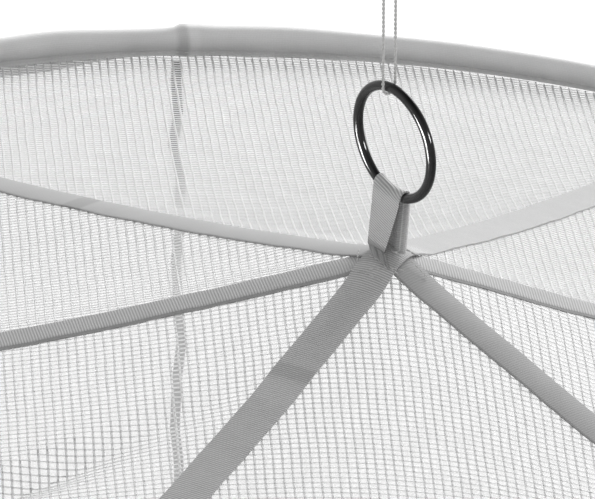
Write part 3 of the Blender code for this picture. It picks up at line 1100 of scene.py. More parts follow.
@dataclass
class RoofNet:
    """The round of net from the crown to the casing, with the creases that it hangs in."""

    form: CanopyForm
    finish: bpy.types.Material
    columns: int = 360
    rows: int = 72
    crowding: float = 0.9
    pole: float = 0.05 * MM
    reach: float = 277.6 * MM
    flat_over: float = 15 * MM
    area_over: float = 5 * MM
    grain: float = 0.083
    left_pull: Pull = Pull(0.6 * MM, -38 * MM, 20 * MM)
    right_pull: Pull = Pull(7 * MM, 38 * MM, 32 * MM)
    crease_fade: float = 6.0
    creases: tuple[Crease, ...] = (
        Crease(
            (
                (-128 * MM, -119 * MM),
                (-107 * MM, -106 * MM),
                (-87 * MM, -94 * MM),
                (-57 * MM, -72 * MM),
            ),
            5.4 * MM,
        ),
    )

    def height(self, x: np.ndarray, y: np.ndarray) -> np.ndarray:
        """Give the height of the net with its creases, which die out towards the tapes."""
        _, share = self.form.panel(np.degrees(np.arctan2(y, x)))
        lift = sum(crease.lift(x, y) for crease in self.creases)
        return self.form.net(x, y) + lift * np.minimum(1, self.crease_fade * share * (1 - share))

    def grain_turn(self) -> np.ndarray:
        """Give the matrix that takes a place in plan to the net's own directions."""
        cosine, sine = math.cos(self.grain), math.sin(self.grain)
        return np.array(((cosine, -sine), (sine, cosine)))

    def drape(self, across: np.ndarray) -> np.ndarray:
        """Give how far the cross threads are pulled out of line, by their place across the net."""
        return self.left_pull.share(across) - self.right_pull.share(across)

    def build(self) -> bpy.types.Object:
        """Make the net's sheet."""
        radii = self.reach * np.linspace(0, 1, self.rows + 1) ** self.crowding
        radii[0] = self.pole
        headings = np.linspace(0, 360, self.columns, endpoint=False)
        place = on_heading(headings[None, :], radii[:, None])
        place[..., 2] = self.height(place[..., 0], place[..., 1])
        uv = place[..., :2] @ self.grain_turn()
        uv[..., 1] -= self.drape(uv[..., 0])
        uv = np.concatenate((uv, uv[:, :1]), 1)
        piece = cloth_sheet("roof_netting", place, uv, self.finish, wrap=True)
        close_pole(piece, self.columns)
        return piece


@dataclass
class RoofThreads:
    """The flat threads of the roof net, which stand proud of its sheet."""

    roof: RoofNet
    netting: Netting
    warp_finish: bpy.types.Material
    cross_finish: bpy.types.Material
    warp: float = 0.8 * MM
    cross: float = 0.85 * MM
    flatness: float = 0.5
    step: float = 4.2 * MM
    sides: int = 4
    reach: float = 277.2 * MM

    def lines(self, warp: bool) -> list[np.ndarray]:
        """Give the route of each thread of one kind, from rim to rim."""
        pitch = self.netting.pitch_across if warp else self.netting.pitch_along
        turn = self.roof.grain_turn().T
        count = int(self.reach / pitch) + 4
        run = np.linspace(-self.reach, self.reach, round(2 * self.reach / self.step) + 1)
        found = []
        for number in range(-count, count + 1):
            aside = number * pitch
            sway = self.netting.sway_at(run, np.full_like(run, aside), np.sin)
            place = aside - sway * pitch
            pair = (place, run) if warp else (run, place + self.roof.drape(run))
            flat = np.stack(pair, -1) @ turn
            flat = flat[np.hypot(flat[:, 0], flat[:, 1]) < self.reach]
            if len(flat) > 2:
                found.append(np.column_stack((flat, self.roof.height(flat[:, 0], flat[:, 1]))))
        return found

    def tree(self) -> Shape:
        """Build the tree that gives each line of a guide its thread, wider than it is high."""
        shape = Shape("flat threads on lines")
        radius = shape.named("Thread Radius")
        flatness = shape.named("Flatness")
        material = shape.named("Finish", "NodeSocketMaterial")
        lines = shape.value("GeometryNodeMeshToCurve", "Curve", None, {0: shape.geometry})
        lines = shape.value("GeometryNodeSetCurveNormal", 0, {"mode": "Z_UP"}, {0: lines})
        squash = {0: shape.circle(radius, self.sides), "Scale": shape.joined(1.0, flatness, 1.0)}
        profile = shape.value("GeometryNodeTransform", 0, None, squash)
        shape.close(shape.swept(lines, profile, True), material)
        return shape

    def build(self) -> list[bpy.types.Object]:
        """Make the warp and the cross threads as two pieces."""
        kinds = (
            ("warp_threads", True, self.warp, self.warp_finish),
            ("cross_threads", False, self.cross, self.cross_finish),
        )
        pieces = []
        for name, warp, thick, finish in kinds:
            guide = guide_lines(f"{name} guide", self.lines(warp))
            sizes = {"Thread_Radius": thick / 2, "Flatness": self.flatness}
            pieces.append(self.tree().run(guide, name, Finish=finish, **sizes))
        return pieces


class TapeForm(Enum):
    """How a tape lies across its width."""

    FLAT = "flat"
    LIPPED = "near edge turned down"
    ARCHED = "edges bent down"


@dataclass
class RoofTape:
    """A tape from rim to rim over the crown, sewn to the net."""

    roof: RoofNet
    finish: bpy.types.Material
    name: str
    first: float
    second: float
    layers: int
    width: float
    lies: TapeForm
    columns: int = 14
    step: float = 2.2 * MM
    reach: float = 276.0 * MM
    thickness: float = 0.5 * MM
    form_from: float = 8 * MM
    form_to: float = 24 * MM
    lip_wide: float = 2.0 * MM
    lip_drop: float = 0.35 * MM
    arch_rise: float = 0.3 * MM
    arch_drop: float = 0.1 * MM
    drift: float = 0.25 * MM
    drift_length: float = 85 * MM
    wider: float = 0.012
    wider_length: float = 40 * MM
    wave: float = 0.22 * MM
    wave_length: float = 33 * MM

    def across_form(self, share: np.ndarray, distance: np.ndarray) -> np.ndarray:
        """Give the lift across the tape.

        Args:
            share: the place across it, from -0.5 to 0.5 towards -Y.
            distance: the distance from the crown.

        Returns:
            The lift.
        """
        out = smooth_step(np.abs(distance), self.form_from, self.form_to)
        if self.lies is TapeForm.LIPPED:
            lip = smooth_step(share * self.width, self.width / 2 - self.lip_wide, self.width / 2)
            return -self.lip_drop * lip * out
        if self.lies is TapeForm.ARCHED:
            return self.arch_rise * (1 - (2 * share) ** 2) * out - self.arch_drop * out
        return np.zeros(np.broadcast(share, distance).shape)

    def build(self) -> bpy.types.Object:
        """Make the tape."""
        count = int(self.reach / self.step)
        stations = np.linspace(0, self.reach, count + 1)
        first = on_heading(self.first, stations[:0:-1])
        second = on_heading(self.second, stations)
        line = np.concatenate((first, second))
        distance = np.concatenate((-stations[:0:-1], stations))
        ahead = unit(np.gradient(line, axis=0))
        across = np.cross(ahead, UP)
        if across[0, 1] > 0:
            across = -across
        share = np.linspace(-0.5, 0.5, self.columns + 1)
        drift = self.drift * slow_wave(distance, self.drift_length, self.first)
        wide = self.width * (1 + self.wider * slow_wave(distance, self.wider_length, self.second))
        side = share[None, :] * wide[:, None] + drift[:, None]
        place = line[:, None, :] + across[:, None, :] * side[..., None]
        wave = self.wave * slow_wave(distance, self.wave_length, self.first + 1)[:, None]
        z = self.roof.form.tape_top(place[..., 0], place[..., 1], self.layers)
        z = z + wave * (0.4 + share[None, :])
        place[..., 2] = z + self.across_form(share[None, :], distance[:, None])
        uv = np.stack(np.broadcast_arrays(distance[:, None], share[None, :] * self.width), -1)
        piece = cloth_sheet(self.name, place, uv, self.finish, flip=True)
        if piece.data.polygons[0].normal.z < 0:
            piece.data.flip_normals()
        thicken(piece, self.thickness)
        apply_modifiers(piece)
        return piece


NARROW = 11 * MM
WIDE = 13 * MM
# From the lowest up: finish, piece, node, the two headings that the tape joins, width and form
TAPES = (
    (LIPPED_TAPE, "tape_under", "roof_tape_under", 6.5, 192.2, NARROW, TapeForm.LIPPED),
    (ARCHED_TAPE, "tape_middle", "roof_tape_middle", 138.9, 314.5, NARROW, TapeForm.ARCHED),
    (CREASED_TAPE, "tape_over", "roof_tape_over", 64.1, 243.2, WIDE, TapeForm.FLAT),
)


@dataclass(frozen=True)
class Ring:
    """The plain ring that the loop and the cord hold."""

    form: CanopyForm
    outer: float = 40 * MM
    wire: float = 3.2 * MM
    heading: float = -52.0
    aside: float = 2.9 * MM
    rise: float = 39.7 * MM
    steps: int = 144
    sides: int = 28

    @property
    def middle(self) -> float:
        """The radius of the wire's centreline."""
        return (self.outer - self.wire) / 2

    @property
    def along(self) -> np.ndarray:
        """The level direction in the ring's plane."""
        return on_heading(self.heading)

    @property
    def square(self) -> np.ndarray:
        """The level direction square to the ring's plane."""
        return on_heading(self.heading + 90)

    @property
    def centre(self) -> np.ndarray:
        """The ring's centre."""
        return self.along * self.aside + UP * (self.form.crown_z + self.rise)

    def wire_at(self, side: np.ndarray | float, sign: int) -> tuple[np.ndarray, np.ndarray]:
        """Give the height of the wire at a distance along its plane from the axis, and its slope."""
        away = np.asarray(side) - self.aside
        rise = np.sqrt(self.middle**2 - away**2)
        return self.centre[2] + sign * rise, away / rise

    def build(self, finish: bpy.types.Material) -> bpy.types.Object:
        """Make the ring as a round wire carried round a circle."""
        shape = Shape("ring of round wire")
        radius = shape.named("Radius")
        wire = shape.named("Wire Radius")
        material = shape.named("Finish", "NodeSocketMaterial")
        path = shape.circle(radius, self.steps)
        shape.close(shape.swept(path, shape.circle(wire, self.sides), False), material)
        guide = add_object("ring guide", bpy.data.meshes.new("ring guide"))
        sizes = {"Radius": self.middle, "Wire_Radius": self.wire / 2}
        piece = shape.run(guide, "plated_ring", Finish=finish, **sizes)
        turn = Matrix((self.along, UP, self.square)).transposed().to_4x4()
        piece.data.transform(Matrix.Translation(Vector(self.centre)) @ turn)
        face_out(piece)
        return piece


def face_out(piece: bpy.types.Object) -> None:
    """Point the faces of a closed piece outwards."""
    mesh = bmesh.new()
    mesh.from_mesh(piece.data)
    bmesh.ops.recalc_face_normals(mesh, faces=mesh.faces)
    mesh.to_mesh(piece.data)
    mesh.free()


@dataclass
class RingLoop:
    """The tape folded over the ring and sewn to the crown by its two feet.

    It lies at the lowest place of the ring, a little aside of the crown, so both legs slant. The
    front leg's margin curls in behind it, more and more towards its foot, and its toe is spread
    out over the crown, where it is crumpled by its stitches.
    """

    ring: Ring
    finish: bpy.types.Material
    width: float = WIDE
    aside_top: float = 2.0 * MM
    aside_foot: float = -0.6 * MM
    foot: float = 2.3 * MM
    foot_z: float = -119.9 * MM
    clear: float = 0.2 * MM
    thickness: float = 0.55 * MM
    columns: int = 30
    leg_steps: int = 22
    arc_steps: int = 16
    toe_steps: int = 12
    toe: float = 1.6 * MM
    front_toe: float = 7.5 * MM
    toe_turn: float = 0.88
    above_crown: float = 0.42 * MM
    crumple: float = 0.3 * MM
    crumple_length: float = 4.5 * MM
    ridge: float = 0.7 * MM
    ridge_at: float = 2.4 * MM
    ridge_wide: float = 0.9 * MM
    curl_from: float = 6.5 * MM
    curl_to: float = 1.4 * MM
    curl_turn: float = math.radians(168)
    curl_radius: float = 0.5 * MM

    def build(self) -> bpy.types.Object:
        """Make the loop, one line across the ring's plane at a time."""
        share = np.linspace(-0.5, 0.5, self.columns + 1)
        lines = [self.line(part * self.width) for part in share]
        points = np.array([line[0] for line in lines])
        run = np.array([line[1] for line in lines])
        uv = np.stack(np.broadcast_arrays(run, share[:, None] * self.width), -1)
        piece = cloth_sheet("loop_over_ring", points, uv, self.finish)
        thicken(piece, self.thickness, 0.0)
        apply_modifiers(piece)
        return piece

    def line(self, side: float) -> tuple[np.ndarray, np.ndarray]:
        """Give one line of the loop, from the front toe over the wire to the far toe.

        Args:
            side: how far the line is from the middle of the tape.

        Returns:
            Its points, and the distance along the tape of each.
        """
        ring = self.ring
        wire_z, slope = ring.wire_at(side + self.aside_top, -1)
        reach = ring.wire / 2 + self.clear + self.thickness / 2
        high = (ring.wire / 2) * np.hypot(1, slope) + self.clear + self.thickness / 2
        down = np.linspace(0, 1, self.leg_steps + 1)
        leg = np.stack((reach + (self.foot - reach) * down, wire_z + (self.foot_z - wire_z) * down), -1)
        turn = np.linspace(0, math.pi, self.arc_steps + 1)
        arc = np.stack((-reach * np.cos(turn), wire_z + high * np.sin(turn)), -1)
        tucked = np.linspace(0, 1, self.toe_steps + 1)[1:]
        toe = np.stack((self.foot - self.toe * tucked, np.full(self.toe_steps, self.foot_z)), -1)
        mirror = np.array((-1, 1))
        spread = self.spread_toe(side, tucked)[::-1]
        flat = np.concatenate((spread[:, 1:], leg[:0:-1] * mirror, arc, leg[1:], toe))
        at_foot = np.ones(self.toe_steps)
        below = np.concatenate((at_foot, down[:0:-1], np.zeros(self.arc_steps + 1), down[1:], at_foot))
        is_front = np.arange(len(flat)) < len(flat) // 2
        along = side + self.aside_top + (self.aside_foot - self.aside_top) * below
        along[: self.toe_steps] = spread[:, 0]
        square = flat[:, 0]
        fold = self.curl_from + (self.curl_to - self.curl_from) * below
        past = np.maximum(0, np.hypot(np.maximum(0, side - fold), self.curl_radius) - self.curl_radius)
        past = np.where(is_front, past, 0)
        along = along - past * (1 - math.cos(self.curl_turn))
        square = square + past * math.sin(self.curl_turn)
        far_leg = np.where(is_front, 0, 1 - np.cos(2 * math.pi * np.minimum(below, 0.5)))
        ridge = bump_at(np.asarray(side), self.ridge_at, self.ridge_wide)
        square = square - self.ridge * 0.5 * far_leg * ridge
        points = ring.along * along[:, None] + ring.square * square[:, None] + UP * flat[:, 1:]
        steps = np.linalg.norm(np.diff(flat, axis=0), axis=1)
        steps[: self.toe_steps] = self.front_toe / self.toe_steps
        run = np.concatenate(((0.0,), np.cumsum(steps)))
        return points, run

    def spread_toe(self, side: float, share: np.ndarray) -> np.ndarray:
        """Give how one line of the front toe runs, from the foot outwards over the crown.

        Args:
            side: how far the line is from the middle of the tape.
            share: how far along the toe each point is, from 0 to 1.

        Returns:
            The distance along the ring's plane, square to it and the height of each point.
        """
        run = self.front_toe * share
        along = side + self.aside_foot + self.toe_turn * run
        square = -self.foot - math.sqrt(1 - self.toe_turn**2) * run
        place = self.ring.along * along[:, None] + self.ring.square * square[:, None]
        top = self.ring.form.tape_top(place[:, 0], place[:, 1], 2) + self.above_crown
        crumpled = self.crumple * slow_wave(square + 0.6 * along, self.crumple_length, side / MM)
        rise = self.foot_z - top
        height = top + rise * np.exp(-4 * share) + crumpled * np.minimum(1, 3 * share)
        return np.stack((along, square, height), -1)


@dataclass(frozen=True)
class TwistedLine:
    """Two plies twisted round one path."""

    ply: float = 0.27 * MM
    apart: float = 0.235 * MM
    lay: float = 3.1 * MM
    step: float = 0.32 * MM
    sides: int = 8

    def tree(self) -> Shape:
        """Build the tree that twists the plies round a guide curve."""
        shape = Shape("two twisted plies")
        ply = shape.named("Ply Radius")
        apart = shape.named("Ply Offset")
        lay = shape.named("Lay Length")
        step = shape.named("Step Length")
        material = shape.named("Finish", "NodeSocketMaterial")
        resample = {"Curve": shape.geometry, "Length": step}
        path = shape.value("GeometryNodeResampleCurve", "Curve", {"mode": "LENGTH"}, resample)
        run = shape.value("GeometryNodeSplineParameter", "Length")
        tangent = shape.value("GeometryNodeInputTangent", "Tangent")
        normal = shape.value("GeometryNodeInputNormal", "Normal")
        side = shape.vector("CROSS_PRODUCT", tangent, normal)
        plies = []
        for phase in (0.0, math.pi):
            turn = run / lay * (2 * math.pi) + phase
            first = shape.scaled(normal, turn.cosine() * apart)
            second = shape.scaled(side, turn.sine() * apart)
            offset = shape.vector("ADD", first, second)
            plies.append(shape.value("GeometryNodeSetPosition", 0, None, {0: path, "Offset": offset}))
        both = shape.node("GeometryNodeJoinGeometry")
        for ply_path in plies:
            shape.feed(both.inputs[0], ply_path)
        paths = Value(shape, both.outputs[0])
        shape.close(shape.swept(paths, shape.circle(ply, self.sides), True), material)
        return shape

    def along(self, path: np.ndarray, name: str, finish: bpy.types.Material) -> bpy.types.Object:
        """Make the twisted line along a path."""
        guide = guide_curve(f"{name} guide", path)
        sizes = {
            "Ply_Radius": self.ply,
            "Ply_Offset": self.apart,
            "Lay_Length": self.lay,
            "Step_Length": self.step,
        }
        piece = self.tree().run(guide, name, Finish=finish, **sizes)
        face_out(piece)
        return piece


@dataclass
class HangingCord:
    """The cord under the knot: down one side of the ring, round its wire and up again."""

    ring: Ring
    finish: bpy.types.Material
    diameter: float = 1.0 * MM
    step: float = 2.4 * MM
    top: float = -22.8 * MM
    apart_top: float = 1.2 * MM
    apart: float = 2.35 * MM
    spread: float = 9 * MM
    bend_steps: int = 12

    def path(self) -> np.ndarray:
        """Give the cord's route, from one strand's top to the other's."""
        wire_z, _ = self.ring.wire_at(0.0, 1)
        count = round((self.top - wire_z) / self.step)
        z = np.linspace(self.top, wire_z, count + 1)
        out = self.apart_top + (self.apart - self.apart_top) * smooth_step(self.top - z, 0, self.spread)
        strand = self.ring.square * out[:, None] + UP * z[:, None]
        turn = np.linspace(0, math.pi, self.bend_steps + 1)[1:-1, None]
        bend = self.ring.square * (self.apart * np.cos(turn)) + UP * (wire_z - self.apart * np.sin(turn))
        other = strand[::-1] * np.array((-1, -1, 1))
        return np.concatenate((strand, bend, other))

    def build(self) -> bpy.types.Object:
        """Make the cord of two twisted plies."""
        return TwistedLine().along(self.path(), "hanging_cord", self.finish)


@dataclass
class CordKnot:
    """The knot and the eye above it, all of the same cord."""

    ring: Ring
    finish: bpy.types.Material
    centre_z: float = -18.5 * MM
    wraps: float = 4.0
    wrap_radius: float = 2.1 * MM
    high: float = 4.6 * MM
    eye_wide: float = 8 * MM
    eye_top: float = 0.5 * MM
    eye_steps: int = 48
    wrap_steps: int = 90
    jog: float = 0.5 * MM
    rope: TwistedLine = TwistedLine(ply=0.42 * MM, apart=0.4 * MM, lay=4 * MM)

    def path(self) -> np.ndarray:
        """Give the route of the cord through the eye, round the knot's turns and out below."""
        turn = np.linspace(0, 2 * math.pi, self.eye_steps + 1)[3:-2, None]
        square = self.ring.square
        wide = self.eye_wide / 2 * np.sin(turn) * np.sin(turn / 2)
        rise = 0.5 - 0.5 * np.cos(turn)
        eye = square * wide + UP * (self.centre_z + (self.eye_top - self.centre_z) * rise)
        spin = np.linspace(0, 2 * math.pi * self.wraps, self.wrap_steps)[:, None]
        share = spin / (2 * math.pi * self.wraps)
        uneven = 1 + 0.12 * np.sin(3 * spin + 1)
        radius = self.wrap_radius * uneven * (0.75 + 0.5 * np.sin(math.pi * share))
        z = self.centre_z + self.high * (0.5 - share) + self.jog * np.sin(2 * spin)
        round_x = on_heading(0.0) * (radius * np.cos(spin))
        round_y = on_heading(90.0) * (radius * np.sin(spin))
        return np.concatenate((eye, round_x + round_y + UP * z))

    def build(self) -> bpy.types.Object:
        """Make the knot with its eye."""
        return self.rope.along(self.path(), "knot_and_eye", self.finish)


@dataclass
class HoopCasing:
    """The tape folded over the hoop, its two flaps sewn together below it."""

    form: CanopyForm
    finish: bpy.types.Material
    columns: int = 720
    sheet: float = 0.9 * MM
    flap: float = 5.7 * MM
    half_mouth: float = 1.4 * MM
    arc_steps: int = 22
    flap_steps: int = 6
    inside: float = 0.3 * MM
    join: float = 105.0
    longer: float = 4 * MM
    shorter: float = 0.4 * MM
    flap_wave: float = 0.25 * MM
    flap_wave_length: float = 210 * MM
    swell: float = 0.3 * MM
    swell_length: float = 150 * MM
    join_swell: float = 0.7 * MM
    bunch: float = 0.9 * MM
    bunch_at: float = 114.0
    lap: float = 0.9 * MM

    def run_at(self, heading: np.ndarray) -> np.ndarray:
        """Give the distance round the hoop at each heading."""
        return heading / 360 * 2 * math.pi * self.form.hoop_radius

    def flaps(self, heading: np.ndarray) -> np.ndarray:
        """Give how far the flaps reach below the hoop's centreline at each heading.

        They are longer for a stretch past the join and shorter for one before it.
        """
        past = smooth_step(heading, 108, 116.5) * (1 - smooth_step(heading, 150, 190))
        before = (1 - smooth_step(heading, 78, 92)) * smooth_step(heading, 20, 60)
        wave = self.flap_wave * slow_wave(self.run_at(heading), self.flap_wave_length)
        return self.flap + self.longer * past - self.shorter * before + wave

    def swelling(self, heading: np.ndarray) -> tuple[np.ndarray, np.ndarray]:
        """Give how much the casing swells at each heading, and how thick its overlap is there.

        It swells most at the join and where it is bunched a little past it.
        """
        swell = self.swell * slow_wave(self.run_at(heading), self.swell_length, 2.0)
        swell = swell + self.join_swell * bump_at(heading, self.join - 0.6, 1.6)
        swell = swell + self.bunch * bump_at(heading, self.bunch_at, 4)
        end = 1 - smooth_step(heading, self.join, self.join + 0.25)
        return swell, self.lap * smooth_step(heading, 91, 100) * end

    def pushed_out(self, heading: np.ndarray) -> np.ndarray:
        """Give how far swelling and overlap push each side of the casing outwards."""
        swell, overlap = self.swelling(heading)
        return 0.2 * swell + 0.5 * overlap

    def stitches(self, pitch: float, above: float) -> tuple[np.ndarray, np.ndarray, np.ndarray]:
        """Give the places of the stitches along both flaps, the way they lie and the way out."""
        count = round(2 * math.pi * self.form.hoop_radius / pitch)
        heading = np.linspace(0, 360, count, endpoint=False)
        thick = self.half_mouth + self.sheet / 2 + self.pushed_out(heading)
        centre = on_heading(heading, self.form.hoop_radius)
        height = self.form.hoop_height(centre[:, 0], centre[:, 1]) - self.flaps(heading) + above
        points, out = [], []
        for side in (-1, 1):
            row = on_heading(heading, self.form.hoop_radius + side * thick)
            row[:, 2] = height
            points.append(row)
            out.append(on_heading(heading) * side)
        along = np.concatenate([unit(np.gradient(row, axis=0)) for row in points])
        return np.concatenate(points), along, np.concatenate(out)

    def build(self) -> bpy.types.Object:
        """Make the casing as one folded sheet round the hoop."""
        heading = np.linspace(0, 360, self.columns, endpoint=False)
        radius = self.form.hoop_wire / 2 + self.inside + self.sheet / 2
        low = math.asin(self.half_mouth / radius)
        arc = np.linspace(-math.pi / 2 - low, -5 * math.pi / 2 + low, self.arc_steps + 1)
        out_arc, up_arc = radius * np.cos(arc), radius * np.sin(arc)
        flap_top = radius * math.cos(low)
        share = np.linspace(1, 0, self.flap_steps + 1)[:-1]
        run = self.run_at(heading)
        inner_up = -(flap_top + (self.flaps(heading)[:, None] - flap_top) * share[None, :])
        mouth = np.full_like(inner_up, self.half_mouth)
        ones = np.ones((self.columns, 1))
        out = np.concatenate((-mouth, ones * out_arc, mouth[:, ::-1]), 1)
        up = np.concatenate((inner_up, ones * up_arc, inner_up[:, ::-1]), 1)
        out = out + np.sign(out) * self.pushed_out(heading)[:, None]
        up = up + sum(self.swelling(heading))[:, None] * np.clip(up / radius, 0, 1)
        centre = on_heading(heading, self.form.hoop_radius)
        z = self.form.hoop_height(centre[:, 0], centre[:, 1])
        place = on_heading(heading[:, None], self.form.hoop_radius + out)
        place[..., 2] = z[:, None] + up
        around = np.concatenate((run, (run[-1] + run[1],)))
        length = np.concatenate(((0.0,), np.cumsum(np.hypot(np.diff(out[0]), np.diff(up[0])))))
        grid = np.transpose(place, (1, 0, 2))
        uv = np.stack(np.broadcast_arrays(around[None, :], length[:, None]), -1)
        piece = cloth_sheet("folded_casing", grid, uv, self.finish, wrap=True)
        thicken(piece, self.sheet, 0.0)
        apply_modifiers(piece)
        return piece


@dataclass(frozen=True)
class Fold:
    """A fold that stands out of the wall and grows towards the hem."""

    heading: float
    half_width: float
    depth: float


@dataclass
class WallNet:
    """The wall of net from the casing down to its open hem."""

    form: CanopyForm
    finish: bpy.types.Material
    length: float = 2.0
    top: float = 3.4 * MM
    straight: float = 10 * MM
    flare: float = 130 * MM
    flare_growth: float = 1.5
    fold_growth: float = 1.35
    columns: int = 420
    rows: int = 96
    crowding: float = 1.1
    seam: float = 105.0
    folds: tuple[Fold, ...] = (
        Fold(8, 16, 64 * MM),
        Fold(36, 14, 50 * MM),
        Fold(63, 16, 70 * MM),
        Fold(92, 14, 46 * MM),
        Fold(121, 16, 60 * MM),
        Fold(150, 15, 66 * MM),
        Fold(178, 14, 48 * MM),
        Fold(206, 16, 68 * MM),
        Fold(235, 15, 56 * MM),
        Fold(264, 15, 64 * MM),
        Fold(292, 14, 46 * MM),
        Fold(319, 15, 60 * MM),
        Fold(344, 13, 42 * MM),
    )

    def place(self, heading: np.ndarray, down: np.ndarray) -> np.ndarray:
        """Give the wall's points at headings in degrees and distances down from its top edge."""
        share = np.maximum(0, down - self.straight) / (self.length - self.straight)
        stands = np.zeros(np.shape(heading))
        for fold in self.folds:
            away = np.abs(np.mod(heading - fold.heading + 180, 360) - 180)
            crest = fold.depth * (0.5 + 0.5 * np.cos(np.pi * away / fold.half_width))
            stands = stands + np.where(away < fold.half_width, crest, 0)
        radius = self.form.hoop_radius + self.flare * share**self.flare_growth
        radius = radius + stands * share**self.fold_growth
        rim = on_heading(heading, self.form.hoop_radius)
        point = on_heading(heading, radius)
        point[..., 2] = self.form.hoop_height(rim[..., 0], rim[..., 1]) - self.top - down
        return point

    def build(self) -> bpy.types.Object:
        """Make the wall."""
        heading = self.seam + 180 + np.linspace(0, 360, self.columns, endpoint=False)
        down = self.length * np.linspace(0, 1, self.rows + 1) ** self.crowding
        grid = self.place(heading[None, :], down[:, None])
        closed = np.concatenate((grid, grid[:, :1]), 1)
        steps = np.linalg.norm(np.diff(closed, axis=1), axis=2)
        run = np.concatenate((np.zeros((len(down), 1)), np.cumsum(steps, 1)), 1)
        around = run - run[:, self.columns // 2, None]
        uv = np.stack(np.broadcast_arrays(around, down[:, None]), -1)
        piece = cloth_sheet("wall_netting", grid, uv, self.finish, wrap=True)
        self.hem_length = float(run[-1, -1])
        return piece

    def hem_stitches(self, pitch: float, above: float) -> tuple[np.ndarray, np.ndarray, np.ndarray]:
        """Give the places of the stitches along the hem, the way they lie and the way out."""
        heading = np.linspace(0, 360, round(self.hem_length / pitch), endpoint=False)
        points = self.place(heading, np.full_like(heading, self.length - above))
        return points, unit(np.gradient(points, axis=0)), on_heading(heading)


@dataclass
class SeamBinding:
    """The narrow tape down the inside of the wall's seam.

    The bends are its sways aside at depths below the wall's top, both in millimetres. Below them
    it sways slowly.
    """

    wall: WallNet
    finish: bpy.types.Material
    width: float = 3.5 * MM
    inside: float = 1.1 * MM
    sheet: float = 0.6 * MM
    rows: int = 320
    columns: int = 4
    heading: float = 105.4
    beside: float = 0.5
    crowding: float = 1.6
    top: float = 5 * MM
    shorter: float = 8 * MM
    sway: float = 0.9 * MM
    sway_length: float = 120 * MM
    sway_from: float = 170 * MM
    sway_to: float = 300 * MM
    bends: tuple[tuple[float, float], ...] = (
        (2, -0.1),
        (13, 0.5),
        (25, -0.3),
        (35, 1.1),
        (38, 2.1),
        (43, 0.5),
        (49, -0.9),
        (74, -0.6),
        (85, 0.9),
        (105, -0.1),
        (119, -1.1),
        (139, 0.9),
        (157, 1.4),
        (170, 0),
    )

    def build(self) -> bpy.types.Object:
        """Make the binding, a little wavy down the seam."""
        spaced = np.linspace(0, 1, self.rows + 1) ** self.crowding
        down = self.top + (self.wall.length - self.shorter) * spaced
        share = np.linspace(-0.5, 0.5, self.columns + 1)
        depths, bends = np.array(self.bends).T * MM
        lower = smooth_step(down, self.sway_from, self.sway_to)
        slow = self.sway * slow_wave(down, self.sway_length, 1.0) * lower
        sway = np.interp(down, depths, bends) + slow
        middle = self.wall.place(np.full_like(down, self.heading), down)
        beside = self.wall.place(np.full_like(down, self.heading + self.beside), down)
        along = unit(beside - middle)
        ahead = unit(np.gradient(middle, axis=0))
        inward = np.cross(along, ahead)
        inward *= -np.sign(np.sum(inward * middle * (1, 1, 0), 1, keepdims=True))
        side = share[None, :] * self.width + sway[:, None]
        place = middle[:, None] + along[:, None] * side[..., None] + (inward * self.inside)[:, None]
        uv = np.stack(np.broadcast_arrays(down[:, None], share[None, :] * self.width), -1)
        piece = cloth_sheet("seam_tape", place, uv, self.finish)
        thicken(piece, self.sheet, 0.0)
        apply_modifiers(piece)
        return piece


@dataclass
class Stitching:
    """Rows of stitches, each a small grain of thread."""

    finish: bpy.types.Material
    long: float = 2.0 * MM
    thick: float = 0.36 * MM
    segments: int = 8
    rings: int = 6

    def tree(self) -> Shape:
        """Build the tree that lays a stitch on each guide point."""
        shape = Shape("row of stitches")
        long = shape.named("Stitch Length")
        thick = shape.named("Thread Diameter")
        material = shape.named("Finish", "NodeSocketMaterial")
        ball = {"Segments": self.segments, "Rings": self.rings, "Radius": 0.5}
        grain = shape.value("GeometryNodeMeshUVSphere", "Mesh", None, ball)
        sizes = shape.joined(long, thick, thick)
        stitch = shape.value("GeometryNodeTransform", 0, None, {0: grain, "Scale": sizes})
        vectors = {"data_type": "FLOAT_VECTOR"}
        along = shape.value("GeometryNodeInputNamedAttribute", 0, vectors, {"Name": "along"})
        out = shape.value("GeometryNodeInputNamedAttribute", 0, vectors, {"Name": "out"})
        axes = {"primary_axis": "X", "secondary_axis": "Z"}
        ways = {"Primary Axis": along, "Secondary Axis": out}
        turned = shape.value("FunctionNodeAxesToRotation", 0, axes, ways)
        laid = {"Points": shape.geometry, "Instance": stitch, "Rotation": turned}
        shape.close(shape.value("GeometryNodeInstanceOnPoints", 0, None, laid), material)
        return shape

    def lay(self, name: str, points: np.ndarray, along: np.ndarray, out: np.ndarray) -> bpy.types.Object:
        """Lay stitches on points.

        Args:
            name: the piece's name.
            points: the middle of each stitch.
            along: the way each lies.
            out: the way out of the cloth at each.

        Returns:
            The stitches as one piece.
        """
        guide = guide_points(f"{name} guide", points, along, out)
        sizes = {"Stitch_Length": self.long, "Thread_Diameter": self.thick}
        return self.tree().run(guide, name, Finish=self.finish, **sizes)


